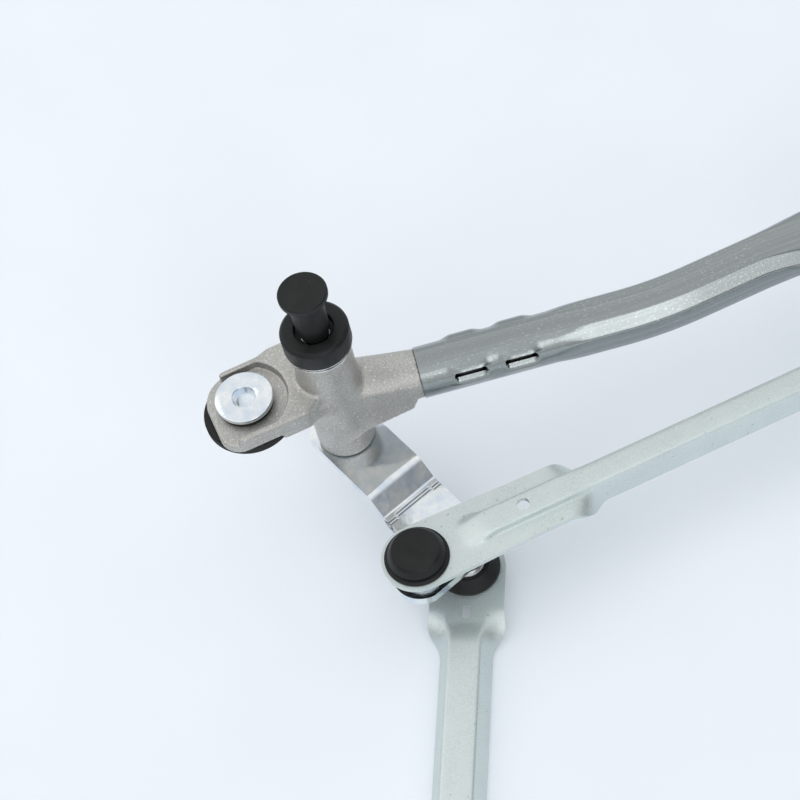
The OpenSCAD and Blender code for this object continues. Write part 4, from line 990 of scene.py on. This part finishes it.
def link_patches(link):
    """Upper face of a pressed link: its strip, and at each end the eye and the small hole."""
    block = link.hole_half + link.hole_r + HOLE_MARGIN
    marks = [link.hole_at - block, link.hole_at + block]
    even = np.arange(link.start, link.fold[1], LINK_STEP)
    near = np.unique(np.concatenate([even, marks, [link.fold[1]]]))
    stations = np.concatenate([near, link.length - near[::-1]])
    sections = [link_section(link, min(s, link.length - s)) for s in stations]
    strip = np.array([
        np.column_stack([np.full(len(p), s), p]) for s, p in zip(stations, sections)
    ])
    middle = strip.shape[1] // 2
    low, high = middle - link.hole_cols, middle + link.hole_cols
    first, last = (int(np.argmin(np.abs(near - mark))) for mark in marks)
    count = len(stations)
    spans = [(first, last), (count - 1 - last, count - 1 - first)]
    skip = {(i, j) for a, b in spans for i in range(a, b) for j in range(low, high)}
    patches = [(*grid_patch(strip, skip), False)]
    for (a, b), hole_at in zip(spans, (link.hole_at, link.length - link.hole_at)):
        loop = np.concatenate([
            strip[a:b, low], strip[b, low:high], strip[b:a:-1, high], strip[a, high:low:-1],
        ])
        hole = hole_ring(loop, (hole_at, 0), link.hole_half, link.hole_r)
        patches.append((*ring_patch(loop, hole), False))
    sides = [(s, link_half_width(link, s)) for s in np.linspace(link.start, 0, 5)[1:-1]]
    end = np.concatenate([
        strip[0, :, :2],
        sides,
        arc((0, 0), link.end_r, 90, 270, 32),
        [(s, -w) for s, w in sides[::-1]],
    ])
    end = np.column_stack([end, np.zeros(len(end))])
    socket = hole_ring(end, (0, 0), 0, SOCKET_HOLE_R)
    points, faces = ring_patch(end, socket)
    patches.append((points, faces, False))
    patches.append((points * (-1, 1, 1) + (link.length, 0, 0), faces, True))
    return patches


def pressed_links():
    """The connecting link, with a bead that folds into a channel, and the drive link."""
    upper = LINK_BALL + (0, 0, BALL_SINK)
    lower = DRIVE_BALL - (0, 0, BALL_SINK - SHEET_T)
    rows = [
        ("connecting_strip", "connecting_link", CONNECTING, upper, 0.0),
        ("drive_strip", "drive_link", DRIVE, lower, DRIVE_REST),
    ]
    for name, node, link, place, turn in rows:
        patches = [(laid(p, place, turn), faces, flip) for p, faces, flip in link_patches(link)]
        sheet_piece(name, node, patches, SHEET_T, SHEET_EDGE)


# Cranks

def crank_side():
    """Upper face of a crank's joggle in side view, with the crank's root at height 0."""
    fall = math.atan2(JOGGLE_DROP, JOGGLE_RUN)
    turn = math.degrees(fall)
    half_tan = math.tan(fall / 2)
    outer = BEND_INNER_R + CRANK_T
    first = (JOGGLE_AT - outer * half_tan, -outer)
    second = (JOGGLE_AT + JOGGLE_RUN + BEND_INNER_R * half_tan, BEND_INNER_R - JOGGLE_DROP)
    return np.concatenate([
        arc(first, outer, 90, 90 - turn, BEND_STEPS),
        arc(second, BEND_INNER_R, 270 - turn, 270, BEND_STEPS),
    ])


def crank_piece(name, node, place, turn, reach, low_edge, high_edge):
    """Crank from its strip's two side edges, as points along and across."""
    side = crank_side()
    scribe = side[-1][0] + SCRIBE_GAP
    scribe_end = scribe + SCRIBE_GAP + SCRIBE_JOG
    root = low_edge[:ROOT_STEPS, 0]
    straight = np.arange(0, JOGGLE_AT - 2 * CRANK_STEP, CRANK_STEP)
    marks = np.arange(scribe - SCRIBE_MARGIN, scribe_end + SCRIBE_MARGIN, SCRIBE_STEP)
    spread = np.sin(np.linspace(0, math.pi / 2, TIP_STEPS))
    tip = reach - (reach - STRIP_END) * (1 - spread)
    stations = np.unique(np.concatenate([root, straight, side[:, 0], marks, tip]).round(4))
    along = stations[:, None]
    low = np.interp(stations, low_edge[:, 0], low_edge[:, 1])[:, None]
    high = np.interp(stations, high_edge[:, 0], high_edge[:, 1])[:, None]
    across = mix(low, high, np.linspace(0, 1, CRANK_COLUMNS)[None, :])
    line = scribe + SCRIBE_JOG * (np.abs(across) > SCRIBE_HALF)
    drawn = np.abs(np.abs(across) - SCRIBE_HALF) > SCRIBE_BREAK
    lines = sum(np.exp(-((along - line - i * SCRIBE_GAP) / SCRIBE_W) ** 2) for i in range(2))
    # Share of each point in a scribed line: it sets the groove's depth and the painted shade in
    # it.
    scribe_and_shade = drawn * np.minimum(lines, 1)
    up = np.interp(stations, side[:, 0], side[:, 1])[:, None] - SCRIBE_DEPTH * scribe_and_shade
    points, faces = grid_patch(np.stack(np.broadcast_arrays(along, across, up), axis=-1))
    patches = [(laid(points, place + np.array([0, 0, CRANK_TOP]), turn), faces, False)]
    sheet_piece(name, node, patches, CRANK_T, CRANK_EDGE, scribe_and_shade)


def cranks():
    """Left crank with a lobe beside its strip for the second ball, and the plain right crank."""
    corner_at = ROOT_CORNER - CRANK_HALF_W
    root_high = arc((corner_at, -corner_at), ROOT_CORNER, 180, 90, ROOT_STEPS - 1)
    root_low = root_high * (1, -1)
    left_turn = math.atan2(DRIVE_BALL[1], DRIVE_BALL[0])
    right_turn = math.atan2(LINK_BALL[1], LINK_BALL[0])
    ball_r = math.hypot(*LINK_BALL[:2])

    reach = math.hypot(*DRIVE_BALL[:2]) + CRANK_END
    lobe = polar(ball_r, right_turn - left_turn)
    lobe_turn = math.degrees(math.acos(min(1, (reach - lobe[0]) / LOBE_R)))
    lobe_edge = arc(lobe, LOBE_R, LOBE_START, 360 - lobe_turn, 30)
    corner_centre = (reach - CRANK_CORNER, CRANK_HALF_W - CRANK_CORNER)
    low = np.concatenate([root_low, [(STRIP_END, -CRANK_HALF_W)], lobe_edge])
    high = np.concatenate([root_high, arc(corner_centre, CRANK_CORNER, 90, 0, 10)])
    crank_piece("crank_strip_left", "crank_left", np.zeros(3), left_turn, reach, low, high)

    tip = arc((ball_r, 0), LOBE_R, TIP_TURN, 0, 24)
    high = np.concatenate([root_high, [(JOGGLE_AT + JOGGLE_RUN, CRANK_HALF_W)], tip])
    low = high * (1, -1)
    foot = np.array([PIVOT_GAP, 0, 0])
    reach = ball_r + LOBE_R
    crank_piece("crank_strip_right", "crank_right", foot, right_turn, reach, low, high)


# Spindles and caps

def turned_grid(radius, heights, turns):
    """Points and quads of a turned skin, from radii in rows of one height each."""
    x, y = radius * np.cos(turns), radius * np.sin(turns)
    rings = np.stack(np.broadcast_arrays(x, y, heights), axis=-1)
    return grid_patch(np.concatenate([rings, rings[:, :1]], axis=1)[:, ::-1])


def turned_pair(name, node, points, faces):
    """A turned piece on the left spindle's axis and one on the right spindle's."""
    pair = []
    for side, foot in (("left", 0.0), ("right", PIVOT_GAP)):
        piece = build_piece(f"{name}_{side}", f"{node}_{side}", points + (foot, 0, 0), faces)
        weld(piece)
        pair.append(piece)
    return pair


def spindle_radius(z, turn):
    """Radius of a spindle: head, journal with a recess for a retaining ring, toothed seat and
    thread.
    """
    head = CRANK_TOP - CRANK_T
    ring = (z > RING_Z) & (z < RING_Z + RING_T)
    seat = mix(SPINDLE_R, SEAT_TOP_R, np.clip((z - CONE_Z) / (THREAD_Z - CONE_Z), 0, 1))
    toothed = (z > CONE_Z + TEETH_GAP) & (z < THREAD_Z)
    teeth = TOOTH_DEPTH * np.abs(((turn * TEETH / math.pi) % 2) - 1) * toothed
    ridge = np.abs(((z / THREAD_PITCH - turn / (2 * math.pi)) % 1) * 2 - 1)
    chamfer = np.maximum(z - SPINDLE_TOP + THREAD_CHAMFER, 0)
    thread = THREAD_R - THREAD_DEPTH * ridge - chamfer
    shaft = np.where(z > THREAD_Z, thread, seat - teeth)
    grooved = np.where(ring, SPINDLE_R - RING_DEPTH, shaft)
    return np.where(z < head, HEAD_R - HEAD_TAPER * (head - z), grooved)


def spindles():
    """Both spindles, turned about their axes."""
    head = CRANK_TOP - CRANK_T
    ring_top = RING_Z + RING_T
    teeth_foot = CONE_Z + TEETH_GAP
    heights = np.concatenate([
        [head - HEAD_H, head - HEAD_H + HEAD_STEP, head - SHARP_STEP / 2, head],
        JOURNAL_RINGS,
        [RING_Z, RING_Z + SHARP_STEP, ring_top - SHARP_STEP, ring_top],
        [CONE_Z, teeth_foot, teeth_foot + TEETH_RUN, THREAD_Z, THREAD_Z + SHARP_STEP],
        np.arange(THREAD_Z + THREAD_STEP, SPINDLE_TOP, THREAD_STEP),
        [SPINDLE_TOP],
    ])[:, None]
    turns = np.linspace(0, 2 * math.pi, 4 * TEETH, endpoint=False)
    points, faces = turned_grid(spindle_radius(heights, turns), heights, turns)
    count = len(turns)
    last = len(points) - count - 1
    faces += [tuple(range(count)), tuple(reversed(range(last, last + count)))]
    for piece in turned_pair("spindle_turned", "spindle", points, faces):
        piece.data.set_sharp_from_angle(angle=SPINDLE_SHARP)


def spindle_caps():
    """Pull-off caps: a neck that widens to a finger button, hollow over the seat and thread."""
    roof = SPINDLE_TOP + CAP_ROOF_GAP
    profile = np.array([
        (SPINDLE_R, CAP_FOOT),
        *((r, CAP_FOOT + up) for r, up in CAP_NECK),
        *((r, CAP_TOP - down) for r, down in CAP_BUTTON),
        (0, roof),
        (THREAD_R + CAP_PLAY, roof),
        (THREAD_R + CAP_PLAY, THREAD_Z),
        (SEAT_TOP_R + CAP_PLAY, THREAD_Z),
        (SPINDLE_R, CAP_FOOT),
    ])
    turns = np.linspace(0, 2 * math.pi, CAP_SIDES, endpoint=False)
    points, faces = turned_grid(profile[:, :1], profile[:, 1:], turns)
    for piece in turned_pair("cap_moulded", "spindle_cap", points, faces):
        soften(piece, CAP_EDGE, 2, 30)


# Stage, light and camera

def stage():
    """Pale floor under the linkage."""
    mesh = bpy.data.meshes.new("floor")
    level = cad_low.z - FLOOR_DROP
    signs = [(-1, -1), (1, -1), (1, 1), (-1, 1)]
    corners = [(x * FLOOR_HALF, y * FLOOR_HALF, level) for x, y in signs]
    mesh.from_pydata(corners, [], [(0, 1, 2, 3)])
    floor = bpy.data.objects.new("floor", mesh)
    bpy.context.scene.collection.objects.link(floor)
    tree = Tree("pale_floor")
    mottle = tree.ramp(tree.noise(60, 2), 0.3, 0.7)
    colour = tree.blend(mottle, (0.80, 0.84, 0.89), (0.82, 0.86, 0.91))
    mesh.materials.append(tree.surface(
        colour, 0.0, 0.8, Specular_IOR_Level=0.2,
        Emission_Color=(0.86, 0.91, 0.97, 1), Emission_Strength=0.16,
    ))


def key_light():
    """Large weak softbox at the upper left."""
    light = bpy.data.lights.new("key", "AREA")
    light.shape = "RECTANGLE"
    light.size, light.size_y = KEY_SIZE
    light.energy = KEY_WATTS
    light.color = KEY_COLOUR
    lamp = bpy.data.objects.new("key", light)
    lamp.location = KEY_AT
    lamp.rotation_mode = "QUATERNION"
    lamp.rotation_quaternion = (Vector(KEY_AIM) - Vector(KEY_AT)).to_track_quat("-Z", "Y")
    bpy.context.scene.collection.objects.link(lamp)


def studio():
    """Surround of soft panels: a bright ceiling, a narrow strip and a dim fill in front."""
    world = bpy.data.worlds.new("studio")
    bpy.context.scene.world = world
    world.use_nodes = True
    nodes, links = world.node_tree.nodes, world.node_tree.links
    toward = nodes.new("ShaderNodeTexCoord").outputs["Generated"]
    total = None
    for panel in (CEILING, FRONT_STRIP, FRONT_FILL):
        dot = nodes.new("ShaderNodeVectorMath")
        dot.operation = "DOT_PRODUCT"
        links.new(toward, dot.inputs[0])
        dot.inputs[1].default_value = Vector(panel.toward).normalized()
        level = nodes.new("ShaderNodeMapRange")
        level.interpolation_type = "SMOOTHSTEP"
        links.new(dot.outputs["Value"], level.inputs["Value"])
        set_range(level, panel.edge, panel.full, panel.dim, panel.bright)
        if total is None:
            total = level.outputs["Result"]
        else:
            both = nodes.new("ShaderNodeMath")
            links.new(total, both.inputs[0])
            links.new(level.outputs["Result"], both.inputs[1])
            total = both.outputs["Value"]
    links.new(total, nodes["Background"].inputs["Strength"])
    nodes["Background"].inputs["Color"].default_value = STUDIO_COLOUR


def camera():
    """Camera at the photograph's viewing angle."""
    azimuth, elevation, roll = map(math.radians, (VIEW_AZIMUTH, VIEW_ELEVATION, VIEW_ROLL))
    back = Vector((
        math.sin(azimuth) * math.cos(elevation),
        -math.cos(azimuth) * math.cos(elevation),
        math.sin(elevation),
    ))
    right = Vector((math.cos(azimuth), math.sin(azimuth), 0))
    up = back.cross(right)
    across = math.cos(roll) * right + math.sin(roll) * up
    upright = math.cos(roll) * up - math.sin(roll) * right
    data = bpy.data.cameras.new("camera")
    data.lens = VIEW_LENS
    data.sensor_width = VIEW_SENSOR
    data.clip_start, data.clip_end = VIEW_CLIP
    view = bpy.data.objects.new("camera", data)
    place = (Vector(FOOT) + Vector(VIEW_TARGET) + back * VIEW_DISTANCE) * MM
    axes = Matrix((across, upright, back)).transposed().to_4x4()
    view.matrix_world = Matrix.Translation(place) @ axes
    bpy.context.scene.collection.objects.link(view)
    bpy.context.scene.camera = view


camera()
stage()
studio()
key_light()
bpy.context.scene.view_settings.view_transform = "Standard"
pivot_housings()
frame_tube()
pressed_links()
cranks()
spindles()
spindle_caps()

for node in frame["nodes"]:
    if not frame["nodes"][node].hide_render:
        widths = (w for start, w in EDGE_WIDTHS.items() if node.startswith(start))
        keep_node(node, next(widths, EDGE_WIDTH))
